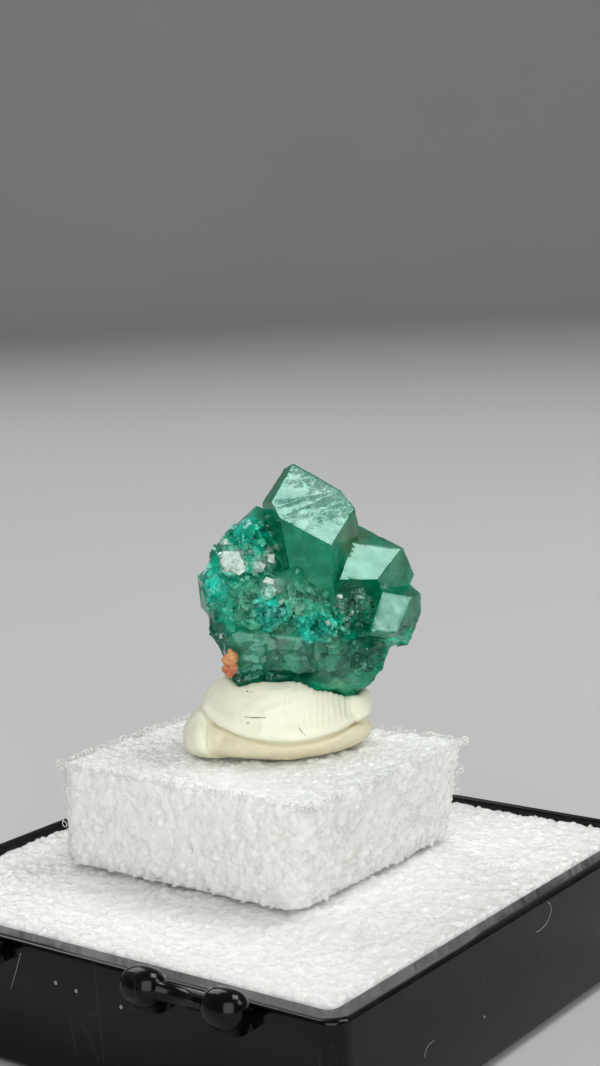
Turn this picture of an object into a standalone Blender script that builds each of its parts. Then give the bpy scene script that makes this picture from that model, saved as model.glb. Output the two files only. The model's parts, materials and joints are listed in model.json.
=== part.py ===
"""A dioptase crystal group on mineral putty, on a foam block in the tray of a small hinged box.

Metres, +Z up. The origin is the middle of the tray's flat underside. The hinge wall faces -Y.
"""

import math
import random

import bmesh
import bpy
from mathutils import Matrix, Vector, noise

# Driving dimensions: the tray and its foam, in metres
TRAY_SIDE = 0.032
TRAY_HEIGHT = 0.0072
TRAY_WALL = 0.00115
TRAY_FLOOR = 0.0012
TRAY_CORNER = 0.0011
TRAY_FOOT_BEVEL = 0.0007
RIM_ROUND = 0.0002
GAP = 0.0003
BLOCK_SIZE = (0.0164, 0.0148, 0.0060)
BLOCK_AT = (-0.00165, 0.0011)
BLOCK_ROUND = 0.0005
BLOCK_LEAN = 0.0013
PAD_ROUND = 0.0002

# Hinge: two pairs of lugs with a pin between the lugs of a pair
HINGE_AT = (-0.0080, 0.0080)
LUG_SPREAD = 0.00245
LUG_LENGTH = 0.00245
LUG_DIAMETER = 0.00195
LUG_OUT = 0.00105
PIN_DIAMETER = 0.0009
NECK_WIDTH = 0.0016
CATCH_SIZE = (0.0060, 0.0004, 0.0006)
CATCH_DROP = 0.0020

# The specimen and its putty are turned in the tray to face their viewer
DISPLAY_TURN = math.radians(36.9)
MM = 0.001
SEED = 11

# Cut bodies start as a cube this large and are cut down. Points nearer than the slack are
# one point, and faces within the flatness angle are one face. Lengths are in millimetres.
ROUGH_SIZE = 14.0
CUT_SLACK = 0.001
CUT_FLATNESS = math.radians(0.5)

# Dioptase: six prism faces, and end faces whose normals stand this far from the long axis
END_FACE_ANGLE = math.radians(51)

# Crystals with measured faces, in the display frame: x right, y away, z above the rim, in mm.
# A face is (azimuth, height, reach): azimuth 0 faces the viewer and grows to the right.
MAIN_CRYSTAL = ((3.0, 2.6, 17.5), (
    (30, 46, 1.97), (-9, -4, 2.18), (63, -1, 2.02), (-79, 46, 3.46), (142, 38, 3.16),
    (116, 22, 2.90), (-68, -9, 2.01), (-115, 10, 2.81), (124, -2, 2.62), (178, -3, 3.30),
    (20, -80, 4.60)))
RIGHT_CRYSTAL = ((6.3, 2.8, 15.8), (
    (27, 46, 0.88), (49, 69, 1.25), (55, 3, 1.09), (17, -35, 1.45), (132, 29, 2.20),
    (110, 24, 2.42), (-90, 28, 1.61), (170, 5, 3.00), (110, -40, 2.60), (20, -78, 3.00)))
LOW_RIGHT_CRYSTAL = ((7.3, 2.8, 13.4), (
    (35, 29, 1.84), (71, 68, 1.44), (63, -1, 1.47), (-69, 38, 1.82), (4, -65, 1.82),
    (115, 0, 1.61), (110, -40, 1.36), (175, 0, 3.10), (140, 45, 2.60)))
LEFT_UPPER_CRYSTAL = ((-0.2, 2.6, 17.6), (
    (-90, 50, 1.28), (-25, 8, 1.52), (30, 20, 1.35), (-80, 0, 1.42), (60, 60, 1.20),
    (-40, 45, 1.22), (0, -60, 2.00), (120, 20, 2.00), (180, 10, 2.20), (-140, 20, 2.00)))
LEFT_BUMP = ((-1.3, 2.2, 16.2), (
    (30, 46, 1.30), (-20, -4, 1.20), (-86, 6, 1.42), (-84, 50, 1.42), (75, 5, 1.35),
    (-45, 30, 1.50), (170, 0, 2.20), (0, -80, 2.00), (-125, -5, 1.85)))
LEFT_EDGE = ((-2.0, 2.6, 15.8), (
    (-85, -5, 0.72), (-50, 20, 0.88), (-100, 40, 0.74), (-20, 0, 1.10), (-70, -45, 0.86),
    (40, 40, 1.20), (160, 0, 1.50), (0, -80, 1.30), (80, 0, 1.50)))
LEFT_LOW = ((-1.8, 2.2, 14.3), (
    (-15, 2, 1.50), (-75, -3, 1.00), (-45, -2, 1.25), (50, 5, 1.30), (-60, 50, 1.20),
    (0, -80, 1.50), (-80, -50, 1.20), (170, 0, 2.00)))
LOW_LEFT_CHUNK = ((0.7, 2.8, 11.4), (
    (-10, 6, 2.72), (0, -42, 2.36), (-72, -14, 2.70), (-100, -22, 2.75), (60, 0, 3.20),
    (165, -10, 3.00), (170, -42, 2.50), (-140, 5, 3.10), (20, -70, 2.45), (-5, 48, 2.84),
    (120, 40, 3.00)))
LOW_RIGHT_CHUNK = ((4.4, 2.7, 10.9), (
    (-22, -2, 2.62), (34, -8, 2.32), (88, -27, 2.12), (78, -46, 1.98), (10, -50, 2.15),
    (140, -15, 2.90), (-175, -8, 3.00), (170, -45, 2.55), (-90, 0, 3.00), (-40, -72, 2.25),
    (40, 60, 2.60)))
CORE_CHUNK = ((2.9, 3.0, 13.6), (
    (0, 4, 2.60), (-35, -8, 3.05), (-75, 10, 3.95), (40, 10, 3.15), (75, -10, 3.90),
    (125, 5, 3.50), (170, 12, 3.55), (-140, -6, 3.70), (-110, 35, 3.60), (150, 45, 3.60),
    (35, 55, 2.55), (0, -65, 3.20), (175, -55, 2.70)))
FACED_BODIES = (RIGHT_CRYSTAL, LOW_RIGHT_CRYSTAL, LEFT_UPPER_CRYSTAL, LEFT_BUMP, LEFT_EDGE,
                LEFT_LOW, LOW_LEFT_CHUNK, LOW_RIGHT_CHUNK, CORE_CHUNK)

# Whole small crystals: (place, azimuth of the long axis, its height, turn, radius, length)
SMALL_CRYSTALS = (
    ((-0.30, 3.80, 16.75), -60, 60, 10, 1.20, 2.8),
    ((-1.75, 3.30, 13.10), -80, 10, 40, 0.72, 1.7),
    ((0.60, 1.45, 16.40), -16, 80, 31, 0.75, 2.2),
    ((0.15, 1.35, 15.70), 10, 76, 28, 0.60, 1.8),
    ((5.30, 2.00, 14.40), 30, 35, 8, 0.85, 2.4),
    ((5.60, 1.90, 13.20), 50, -10, 12, 1.05, 2.6),
    ((2.20, 5.60, 17.00), 175, 50, 20, 1.60, 4.4),
    ((0.55, 5.40, 15.30), -155, 35, 44, 1.40, 3.6),
    ((5.60, 5.40, 15.40), 140, 30, 5, 1.50, 3.8),
    ((3.40, 6.00, 13.60), 178, 12, 25, 1.45, 3.6),
    ((0.10, 5.00, 13.10), -130, 8, 30, 1.20, 3.2),
    ((6.60, 4.60, 12.90), 120, -8, 15, 1.20, 3.0),
    ((4.60, 5.30, 12.00), 160, -12, 50, 1.10, 2.8),
    ((1.20, 5.30, 12.00), -165, -10, 35, 1.20, 3.0),
)

# Broken ground: chips strewn over a rectangle (x from, x to, z from, z to) at a depth
CHIP_FIELDS = (
    ((-1.3, 3.2, 13.3, 15.5), 0.85, 26, (0.55, 0.95)),
    ((1.6, 4.8, 12.7, 14.6), 0.75, 14, (0.45, 0.75)),
    ((-0.8, 4.2, 13.2, 15.0), 0.40, 22, (0.18, 0.34)),
    ((-1.8, 0.2, 13.0, 17.2), 1.55, 16, (0.35, 0.65)),
    ((4.4, 6.4, 13.2, 15.0), 1.90, 8, (0.40, 0.70)),
    ((4.0, 5.5, 10.6, 12.8), 0.95, 9, (0.25, 0.50)),
    ((-0.2, 4.4, 11.4, 12.8), 5.00, 12, (0.60, 0.95)),
    ((-0.5, 6.4, 12.2, 17.0), 5.80, 18, (0.60, 1.05)),
)

# The orange grain, and the putty's lobes: (middle, half sizes, roll in degrees)
GRAIN = ((-1.71, -0.10, 11.43), (0.40, 0.32, 0.80), 6)
GRAIN_BUMPS = 0.10
PUTTY_LOBES = (
    ((0.70, 2.45, 6.90), (5.15, 3.95, 1.15), 0),
    ((0.80, 2.45, 7.60), (4.50, 3.85, 3.00), 2),
    ((-2.55, 2.00, 7.00), (1.95, 2.60, 1.50), -6),
    ((4.95, 2.60, 8.05), (0.92, 1.70, 1.25), 8),
)
PUTTY_FOOT = 6.30


def remove_start_objects():
    """Empties the scene of whatever it starts with."""
    for thing in list(bpy.data.objects):
        bpy.data.objects.remove(thing, do_unlink=True)


def new_collection(name):
    """A collection linked to the scene."""
    collection = bpy.data.collections.new(name)
    bpy.context.scene.collection.children.link(collection)
    return collection


def make_material(name, colour, roughness, transmission=0.0, ior=1.5):
    """A Principled material with one colour, given as sRGB values from 0 to 1."""
    material = bpy.data.materials.new(name)
    material.use_nodes = True
    shader = material.node_tree.nodes["Principled BSDF"]
    linear = [value ** 2.2 for value in colour]
    shader.inputs["Base Color"].default_value = (*linear, 1.0)
    shader.inputs["Roughness"].default_value = roughness
    shader.inputs["Metallic"].default_value = 0.0
    shader.inputs["Transmission Weight"].default_value = transmission
    shader.inputs["IOR"].default_value = ior
    material.diffuse_color = (*linear, 1.0)
    return material


def mesh_object(name, bm, collection, material=None):
    """Turns a bmesh into an object in a collection."""
    bmesh.ops.recalc_face_normals(bm, faces=bm.faces[:])
    mesh = bpy.data.meshes.new(name)
    bm.to_mesh(mesh)
    bm.free()
    thing = bpy.data.objects.new(name, mesh)
    collection.objects.link(thing)
    if material is not None:
        mesh.materials.append(material)
    return thing


def hide_cutter(thing):
    """Marks an object as a cutter, which is not part of the model."""
    thing.hide_render = True
    thing.display_type = 'WIRE'


def boolean(target, operation, other):
    """Adds an exact Boolean modifier."""
    modifier = target.modifiers.new(operation.lower(), 'BOOLEAN')
    modifier.operation = operation
    modifier.solver = 'EXACT'
    modifier.object = other


def block_mesh(size, middle, upright_round=0.0, top_round=0.0, foot_bevel=0.0, segments=3):
    """A box with rounded upright edges, rounded top edges and a bevelled foot."""
    bm = bmesh.new()
    place = Matrix.Translation(middle) @ Matrix.Diagonal((*size, 1.0))
    bmesh.ops.create_cube(bm, size=1.0, matrix=place)
    if upright_round > 0.0:
        upright = [e for e in bm.edges if abs(e.verts[0].co.z - e.verts[1].co.z) > size[2] / 2]
        bmesh.ops.bevel(bm, geom=upright, offset=upright_round, segments=segments,
                        profile=0.5, affect='EDGES')
    top = middle[2] + size[2] / 2
    foot = middle[2] - size[2] / 2
    for height, width, steps in ((top, top_round, 2), (foot, foot_bevel, 1)):
        if width > 0.0:
            ring = [e for e in bm.edges
                    if all(abs(v.co.z - height) < 1e-6 for v in e.verts)]
            bmesh.ops.bevel(bm, geom=ring, offset=width, segments=steps,
                            profile=0.5, affect='EDGES')
    return bm


def build_tray(collection, cutters, material):
    """The black tray: walls, floor, catch ridge, hinge lugs and their pins."""
    bm = block_mesh((TRAY_SIDE, TRAY_SIDE, TRAY_HEIGHT), (0, 0, TRAY_HEIGHT / 2),
                    upright_round=TRAY_CORNER, top_round=RIM_ROUND,
                    foot_bevel=TRAY_FOOT_BEVEL, segments=5)
    tray = mesh_object("tray", bm, collection, material)

    inner = TRAY_SIDE - 2 * TRAY_WALL
    depth = TRAY_HEIGHT - TRAY_FLOOR
    bm = block_mesh((inner, inner, 2 * depth), (0, 0, TRAY_FLOOR + depth),
                    upright_round=TRAY_CORNER * 0.5)
    cavity = mesh_object("tray_cavity", bm, cutters)
    hide_cutter(cavity)
    boolean(tray, 'DIFFERENCE', cavity)

    axis_y = -TRAY_SIDE / 2 - LUG_OUT
    axis_z = TRAY_HEIGHT
    for number, hinge_x in enumerate(HINGE_AT, start=1):
        for side in (-1, 1):
            lug_x = hinge_x + side * LUG_SPREAD
            add_lug(f"lug_{number}_{'left' if side < 0 else 'right'}", lug_x, axis_y, axis_z,
                    tray, cutters)
        bm = bmesh.new()
        lie = Matrix.Translation((hinge_x, axis_y, axis_z)) @ Matrix.Rotation(math.pi / 2, 4, 'Y')
        bmesh.ops.create_cone(bm, cap_ends=True, segments=16, radius1=PIN_DIAMETER / 2,
                              radius2=PIN_DIAMETER / 2, depth=2 * LUG_SPREAD, matrix=lie)
        pin = mesh_object(f"pin_{number}", bm, cutters)
        hide_cutter(pin)
        boolean(tray, 'UNION', pin)

    catch_z = TRAY_HEIGHT - CATCH_DROP
    bm = block_mesh((CATCH_SIZE[0], 2 * CATCH_SIZE[1], CATCH_SIZE[2]),
                    (0, TRAY_SIDE / 2, catch_z), upright_round=CATCH_SIZE[1] * 0.4,
                    top_round=CATCH_SIZE[1] * 0.4, segments=2)
    catch = mesh_object("catch_ridge", bm, cutters)
    hide_cutter(catch)
    boolean(tray, 'UNION', catch)
    return tray


def add_lug(name, x, y, z, tray, cutters):
    """Joins one domed hinge lug and the neck that carries it to the tray's wall."""
    radius = LUG_DIAMETER / 2
    straight = LUG_LENGTH / 2 - radius
    bm = bmesh.new()
    bmesh.ops.create_uvsphere(bm, u_segments=20, v_segments=12, radius=radius,
                              matrix=Matrix.Rotation(math.pi / 2, 4, 'Y'))
    for vert in bm.verts:
        vert.co.x += math.copysign(straight, vert.co.x) if abs(vert.co.x) > 1e-7 else 0.0
    bmesh.ops.translate(bm, vec=(x, y, z), verts=bm.verts[:])
    ball = mesh_object(name, bm, cutters)
    hide_cutter(ball)

    reach = LUG_OUT + TRAY_WALL * 0.8
    neck_height = radius * 1.1
    bm = block_mesh((NECK_WIDTH, reach, neck_height),
                    (x, y + reach / 2, z - neck_height / 2 - RIM_ROUND),
                    upright_round=NECK_WIDTH * 0.2, segments=2)
    neck = mesh_object(name + "_neck", bm, cutters)
    hide_cutter(neck)
    boolean(tray, 'UNION', neck)
    boolean(tray, 'UNION', ball)


def build_foam(collection, material):
    """The pad that fills the tray, and the block on it, whose +X side is cut at a slant."""
    side = TRAY_SIDE - 2 * TRAY_WALL - 2 * GAP
    foot = TRAY_FLOOR + GAP
    thickness = TRAY_HEIGHT - foot
    bm = block_mesh((side, side, thickness), (0, 0, foot + thickness / 2),
                    upright_round=PAD_ROUND * 2, top_round=PAD_ROUND)
    mesh_object("foam_pad", bm, collection, material)

    width, depth, height = BLOCK_SIZE
    standing = height - GAP
    bm = block_mesh((width, depth, standing),
                    (*BLOCK_AT, TRAY_HEIGHT + GAP + standing / 2),
                    upright_round=BLOCK_ROUND * 2, top_round=BLOCK_ROUND)
    middle_x = BLOCK_AT[0]
    for vert in bm.verts:
        if vert.co.x > middle_x:
            vert.co.x += BLOCK_LEAN * (vert.co.z - TRAY_HEIGHT) / height
    mesh_object("foam_block", bm, collection, material)


def display_matrix():
    """From the display frame, in millimetres above the rim, to the model's frame."""
    turn = Matrix.Rotation(DISPLAY_TURN, 4, 'Z')
    return Matrix.Translation((0, 0, TRAY_HEIGHT)) @ turn @ Matrix.Scale(MM, 4)


def direction(azimuth, height):
    """A unit vector from an azimuth and a height above level, both in degrees."""
    azimuth = math.radians(azimuth)
    height = math.radians(height)
    level = math.cos(height)
    return Vector((math.sin(azimuth) * level, -math.cos(azimuth) * level, math.sin(height)))


def cut_plane(bm, point, normal):
    """Cuts off what lies outside a plane and closes the cut."""
    geometry = bm.verts[:] + bm.edges[:] + bm.faces[:]
    bmesh.ops.bisect_plane(bm, geom=geometry, dist=CUT_SLACK, plane_co=point,
                           plane_no=normal, clear_outer=True)
    bmesh.ops.remove_doubles(bm, verts=bm.verts[:], dist=CUT_SLACK)
    hull = bmesh.ops.convex_hull(bm, input=bm.verts[:], use_existing_faces=False)
    spare = [v for v in hull['geom_interior'] + hull['geom_unused']
             if isinstance(v, bmesh.types.BMVert)]
    bmesh.ops.delete(bm, geom=spare, context='VERTS')
    bmesh.ops.dissolve_limit(bm, angle_limit=CUT_FLATNESS, verts=bm.verts[:],
                             edges=bm.edges[:])


def faced_body(centre, faces, extra=0.0):
    """A convex body: a cube cut by one plane for each face."""
    bm = bmesh.new()
    centre = Vector(centre)
    bmesh.ops.create_cube(bm, size=ROUGH_SIZE, matrix=Matrix.Translation(centre))
    for azimuth, height, reach in faces:
        normal = direction(azimuth, height)
        cut_plane(bm, centre + normal * (reach + extra), normal)
    return bm


def whole_crystal(centre, azimuth, height, turn, radius, length):
    """A dioptase crystal: a hexagonal prism with three end faces on each end."""
    bm = bmesh.new()
    bmesh.ops.create_cone(bm, cap_ends=True, segments=6, radius1=radius, radius2=radius,
                          depth=length * 1.6)
    across = math.sin(END_FACE_ANGLE)
    along = math.cos(END_FACE_ANGLE)
    for end in (1, -1):
        tip = Vector((0, 0, end * length / 2))
        for third in range(3):
            angle = math.radians(120 * third + (0 if end > 0 else 60) + 90)
            normal = Vector((across * math.cos(angle), across * math.sin(angle), end * along))
            cut_plane(bm, tip, normal)
    axis = direction(azimuth, height).to_track_quat('Z', 'Y').to_matrix().to_4x4()
    place = Matrix.Translation(centre) @ axis @ Matrix.Rotation(math.radians(turn), 4, 'Z')
    bmesh.ops.transform(bm, matrix=place, verts=bm.verts[:])
    return bm


def chip(rng, centre, size):
    """A small broken piece: a cube cut by planes that lie at random."""
    count = rng.randint(8, 11)
    faces = []
    for number in range(count):
        azimuth = 360 * number * 0.618 + rng.uniform(-25, 25)
        height = math.degrees(math.asin(-0.9 + 1.8 * (number + 0.5) / count))
        faces.append((azimuth, height + rng.uniform(-10, 10), size * rng.uniform(0.6, 1.0)))
    return faced_body(centre, faces)


def keep_outer_skin(thing):
    """Applies the modifiers and fills the hollows that the joined bodies shut in."""
    depsgraph = bpy.context.evaluated_depsgraph_get()
    mesh = bpy.data.meshes.new_from_object(thing.evaluated_get(depsgraph))
    bm = bmesh.new()
    bm.from_mesh(mesh)
    skins = []
    waiting = set(bm.faces)
    while waiting:
        skin = {waiting.pop()}
        edge_faces = list(skin)
        while edge_faces:
            face = edge_faces.pop()
            for edge in face.edges:
                for other in edge.link_faces:
                    if other in waiting:
                        waiting.discard(other)
                        skin.add(other)
                        edge_faces.append(other)
        skins.append(skin)
    outer = max(skins, key=lambda skin: sum(face.calc_area() for face in skin))
    inner = [face for skin in skins if skin is not outer for face in skin]
    bmesh.ops.delete(bm, geom=inner, context='FACES')
    bm.to_mesh(mesh)
    bm.free()
    thing.modifiers.clear()
    thing.data = mesh


def build_dioptase(collection, pieces, material):
    """The crystal group, all of it grown together in one solid."""
    to_model = display_matrix()
    bodies = [faced_body(centre, faces) for centre, faces in FACED_BODIES]
    for values in SMALL_CRYSTALS:
        bodies.append(whole_crystal(*values))
    rng = random.Random(SEED)
    for (x_from, x_to, z_from, z_to), depth, count, (least, most) in CHIP_FIELDS:
        for _ in range(count):
            centre = (rng.uniform(x_from, x_to), depth + rng.uniform(-0.25, 0.25),
                      rng.uniform(z_from, z_to))
            bodies.append(chip(rng, centre, rng.uniform(least, most)))

    bm = faced_body(*MAIN_CRYSTAL)
    bmesh.ops.transform(bm, matrix=to_model, verts=bm.verts[:])
    dioptase = mesh_object("dioptase", bm, collection, material)
    for number, bm in enumerate(bodies, start=1):
        bmesh.ops.transform(bm, matrix=to_model, verts=bm.verts[:])
        body = mesh_object(f"crystal_{number}", bm, pieces)
        hide_cutter(body)
        boolean(dioptase, 'UNION', body)
    keep_outer_skin(dioptase)
    return dioptase


def lobe(middle, half_sizes, roll, segments=32):
    """A squashed ball."""
    bm = bmesh.new()
    place = (Matrix.Translation(middle) @ Matrix.Rotation(math.radians(roll), 4, 'Y')
             @ Matrix.Diagonal((*half_sizes, 1.0)))
    bmesh.ops.create_uvsphere(bm, u_segments=segments, v_segments=segments // 2, radius=1.0,
                              matrix=place)
    return bm


def build_putty(collection, cutters, material):
    """The pressed lump of putty: its lobes joined, flat below, hollowed for the crystals."""
    to_model = display_matrix()
    putty = None
    for number, values in enumerate(PUTTY_LOBES, start=1):
        bm = lobe(*values)
        cut_plane(bm, Vector((0, 0, PUTTY_FOOT)), Vector((0, 0, -1)))
        bmesh.ops.transform(bm, matrix=to_model, verts=bm.verts[:])
        if putty is None:
            putty = mesh_object("putty", bm, collection, material)
            continue
        other = mesh_object(f"putty_lobe_{number}", bm, cutters)
        hide_cutter(other)
        boolean(putty, 'UNION', other)
    for number, (centre, faces) in enumerate((LOW_LEFT_CHUNK, LOW_RIGHT_CHUNK), start=1):
        bm = faced_body(centre, faces, extra=GAP / MM)
        bmesh.ops.transform(bm, matrix=to_model, verts=bm.verts[:])
        press = mesh_object(f"putty_press_{number}", bm, cutters)
        hide_cutter(press)
        boolean(putty, 'DIFFERENCE', press)
    return putty


def build_grain(collection, material):
    """The orange grain, an uneven little pebble that touches the crystals' lower left side."""
    middle, half_sizes, roll = GRAIN
    bm = bmesh.new()
    place = (display_matrix() @ Matrix.Translation(middle)
             @ Matrix.Rotation(math.radians(roll), 4, 'Y') @ Matrix.Diagonal((*half_sizes, 1.0)))
    bmesh.ops.create_icosphere(bm, subdivisions=3, radius=1.0)
    for vert in bm.verts:
        vert.co *= 1.0 + GRAIN_BUMPS * noise.noise(vert.co * 2.5)
    bmesh.ops.transform(bm, matrix=place, verts=bm.verts[:])
    return mesh_object("orange_grain", bm, collection, material)


def main():
    """Builds every piece of the object."""
    remove_start_objects()
    parts = new_collection("dioptase_specimen")
    cutters = new_collection("cutters")
    pieces = new_collection("crystal_bodies")

    black = make_material("black_plastic", (0.05, 0.055, 0.05), 0.12)
    foam = make_material("white_foam", (0.93, 0.94, 0.92), 0.85)
    cream = make_material("cream_putty", (0.93, 0.92, 0.83), 0.55)
    green = make_material("green_crystal", (0.05, 0.55, 0.42), 0.06, transmission=0.6, ior=1.67)
    orange = make_material("orange_mineral", (0.85, 0.47, 0.27), 0.6)

    build_tray(parts, cutters, black)
    build_foam(parts, foam)
    build_dioptase(parts, pieces, green)
    build_putty(parts, cutters, cream)
    build_grain(parts, orange)


if __name__ == "__main__":
    main()
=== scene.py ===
"""Looks of a dioptase specimen on mineral putty, on foam in the tray of a small hinged box.

Metres, +Z up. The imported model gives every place: each piece here is made from the solid that it
stands for, or is set on one. Shapes on the specimen are described in its display frame, in
millimetres: x to the viewer's right, y away from the viewer, z above the tray's rim.
"""

import json
import logging
import math
import random
from contextlib import contextmanager
from dataclasses import dataclass
from enum import Enum
from typing import Any, Callable, Iterator, Optional, Sequence

import bmesh
import bpy
from mathutils import Euler, Matrix, Vector, noise

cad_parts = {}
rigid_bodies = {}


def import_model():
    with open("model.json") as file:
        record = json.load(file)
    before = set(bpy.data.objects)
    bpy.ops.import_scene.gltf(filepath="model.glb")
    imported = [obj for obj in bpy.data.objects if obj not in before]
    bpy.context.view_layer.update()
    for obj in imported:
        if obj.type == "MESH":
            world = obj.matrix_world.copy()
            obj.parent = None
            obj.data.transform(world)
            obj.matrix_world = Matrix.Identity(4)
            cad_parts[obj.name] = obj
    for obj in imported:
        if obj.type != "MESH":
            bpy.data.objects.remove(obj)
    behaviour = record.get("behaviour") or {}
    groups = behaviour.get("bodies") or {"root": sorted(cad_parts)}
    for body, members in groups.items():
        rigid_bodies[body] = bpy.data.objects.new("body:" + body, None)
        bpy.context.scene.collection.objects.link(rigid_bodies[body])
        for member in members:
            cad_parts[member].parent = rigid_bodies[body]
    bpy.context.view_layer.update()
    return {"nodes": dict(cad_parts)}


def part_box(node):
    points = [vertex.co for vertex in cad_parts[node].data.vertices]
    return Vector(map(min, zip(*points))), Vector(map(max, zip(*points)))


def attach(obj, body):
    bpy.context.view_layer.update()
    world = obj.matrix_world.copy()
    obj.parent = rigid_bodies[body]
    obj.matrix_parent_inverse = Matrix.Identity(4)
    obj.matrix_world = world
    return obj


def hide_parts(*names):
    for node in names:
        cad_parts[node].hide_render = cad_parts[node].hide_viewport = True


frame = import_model()

# Vector noise goes by the clock until it is given a seed
NOISE_SEED = 21
noise.seed_set(NOISE_SEED)

LOG = logging.getLogger("specimen")

MM = 0.001
RIM_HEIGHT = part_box("foam_pad")[1].z
BLOCK_LOW, BLOCK_HIGH = (corner.copy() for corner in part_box("foam_block"))
GRAIN_LOW, GRAIN_HIGH = (corner.copy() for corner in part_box("orange_grain"))
DISPLAY_TURN = math.radians(36.9)
FROM_DISPLAY = (Matrix.Translation((0, 0, RIM_HEIGHT)) @ Matrix.Rotation(DISPLAY_TURN, 4, 'Z')
                @ Matrix.Scale(MM, 4))
TO_DISPLAY = FROM_DISPLAY.inverted()
TURN_FROM_DISPLAY = FROM_DISPLAY.to_3x3().normalized()

MERGE_WITHIN = 1e-7
FLAT_WITHIN = math.radians(0.4)
SPLIT_ROUNDS = 12
FULL_TURN = 6.28

Colour = tuple[float, float, float]
Tint = tuple[float, float, float, float]
Point = tuple[float, float, float]
Where = Callable[[Vector], bool]
Piece = bpy.types.Object
Material = bpy.types.Material
Socket = bpy.types.NodeSocket
Tree = bpy.types.NodeTree


class Attribute(str, Enum):
    """Names of the values that a mesh hands to its material."""

    TINT = "tint"
    BROKEN = "broken"
    CLEAVED = "cleaved"
    FROST = "frost"
    PIT = "pit"


def linear(colour: Colour) -> Tint:
    """A display colour, 0 to 1, as the linear colour with alpha that a shader takes."""
    return (*(value ** 2.2 for value in colour), 1.0)


def hue(colour: Colour) -> Vector:
    """A display colour, 0 to 1, as a linear vector that mixes with others."""
    return Vector(linear(colour)[:3])


def smooth_step(low: float, high: float, value: float) -> float:
    """Rises smoothly from 0 at low to 1 at high. Low may be the larger of the two."""
    share = min(1.0, max(0.0, (value - low) / (high - low)))
    return share * share * (3.0 - 2.0 * share)


def bell(value: float, middle: float, width: float) -> float:
    """A soft hump, 1 at its middle and almost 0 two widths away."""
    return math.exp(-((value - middle) / width) ** 2)


def facing(azimuth: float, height: float) -> Vector:
    """A unit vector in the display frame.

    Args:
        azimuth: Degrees, 0 towards the viewer and growing to the viewer's right.
        height: Degrees above level.

    Returns:
        The vector.
    """
    azimuth = math.radians(azimuth)
    height = math.radians(height)
    level = math.cos(height)
    return Vector((math.sin(azimuth) * level, -math.cos(azimuth) * level, math.sin(height)))


def chance(place: Vector) -> float:
    """A number from 0 to 1 that is the same all over one unit cell."""
    return min(1.0, abs(noise.cell(place)))


def facet_at(place: Vector, cell: float) -> tuple[float, Vector]:
    """The flat that a point is on, in a field of small tilted flats as on broken crystal.

    Args:
        place: The point, in the same unit as cell.
        cell: The mean width of a flat.

    Returns:
        A height from about -0.3 to 0.3, and the flat's middle.
    """
    scaled = place / cell
    nearest = noise.voronoi(scaled)[1][0]
    tilt = noise.cell_vector(nearest * 7.31) - Vector((0.5, 0.5, 0.5))
    return tilt.dot(scaled - nearest), nearest * cell


def bend_at(vert: bmesh.types.BMVert) -> float:
    """The sharpest angle between faces along the edges at a vertex, in radians."""
    return max((edge.calc_face_angle(0.0) for edge in vert.link_edges), default=0.0)


def select_only(*pieces: Piece) -> None:
    """Selects these objects alone, and makes the first of them the active one."""
    for thing in bpy.context.view_layer.objects:
        thing.select_set(False)
    for piece in pieces:
        piece.select_set(True)
    if pieces:
        bpy.context.view_layer.objects.active = pieces[0]


@contextmanager
def editing(piece: Piece, select: str = 'VERT') -> Iterator[bmesh.types.BMesh]:
    """Opens a piece in edit mode with nothing selected.

    Args:
        piece: The mesh object.
        select: The select mode, VERT, EDGE or FACE.

    Yields:
        The piece's edit mesh.
    """
    select_only(piece)
    bpy.ops.object.mode_set(mode='EDIT')
    bpy.ops.mesh.select_mode(type=select)
    bpy.ops.mesh.select_all(action='DESELECT')
    try:
        yield bmesh.from_edit_mesh(piece.data)
    finally:
        bpy.ops.object.mode_set(mode='OBJECT')


def copy_of_node(node: str, name: str) -> Piece:
    """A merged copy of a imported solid, as a new piece at the origin.

    Args:
        node: The solid's name.
        name: The new piece's name.

    Returns:
        The piece, with its flat faces whole.
    """
    piece = bpy.data.objects.new(name, frame["nodes"][node].data.copy())
    piece.data.name = name
    piece.data.materials.clear()
    bpy.context.scene.collection.objects.link(piece)
    with editing(piece):
        bpy.ops.mesh.select_all(action='SELECT')
        bpy.ops.mesh.remove_doubles(threshold=MERGE_WITHIN)
        bpy.ops.mesh.dissolve_limited(angle_limit=FLAT_WITHIN)
        bpy.ops.mesh.quads_convert_to_tris(ngon_method='BEAUTY')
    return piece


def split_long_edges(piece: Piece, longest: float, where: Optional[Where] = None) -> None:
    """Subdivides a piece until no edge is longer than a length.

    Args:
        piece: The mesh object, made of triangles.
        longest: The length, in metres.
        where: Says of an edge's middle whether the edge counts. All edges count without it.
    """
    for _ in range(SPLIT_ROUNDS):
        with editing(piece, 'EDGE') as mesh:
            found = 0
            for edge in mesh.edges:
                first, second = (vert.co for vert in edge.verts)
                if (first - second).length <= longest:
                    continue
                if where is None or where((first + second) / 2):
                    edge.select_set(True)
                    found += 1
            if not found:
                return
            bmesh.update_edit_mesh(piece.data)
            bpy.ops.mesh.subdivide(number_cuts=1)
            bpy.ops.mesh.select_all(action='SELECT')
            bpy.ops.mesh.quads_convert_to_tris(quad_method='SHORTEST_DIAGONAL',
                                               ngon_method='BEAUTY')


def reshape(piece: Piece, rule: Callable[[bmesh.types.BMVert], tuple[Vector, Any]]) -> list[Any]:
    """Moves all vertices of a piece at once, each as a rule says.

    Args:
        piece: The mesh object.
        rule: Gives a vertex's move, in the piece's unit, and the value that goes with it.

    Returns:
        The vertices' values, in their order.
    """
    with editing(piece) as mesh:
        results = [rule(vert) for vert in mesh.verts]
        for vert, (move, _) in zip(mesh.verts, results):
            vert.co += move
        bmesh.update_edit_mesh(piece.data)
    return [value for _, value in results]


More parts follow.
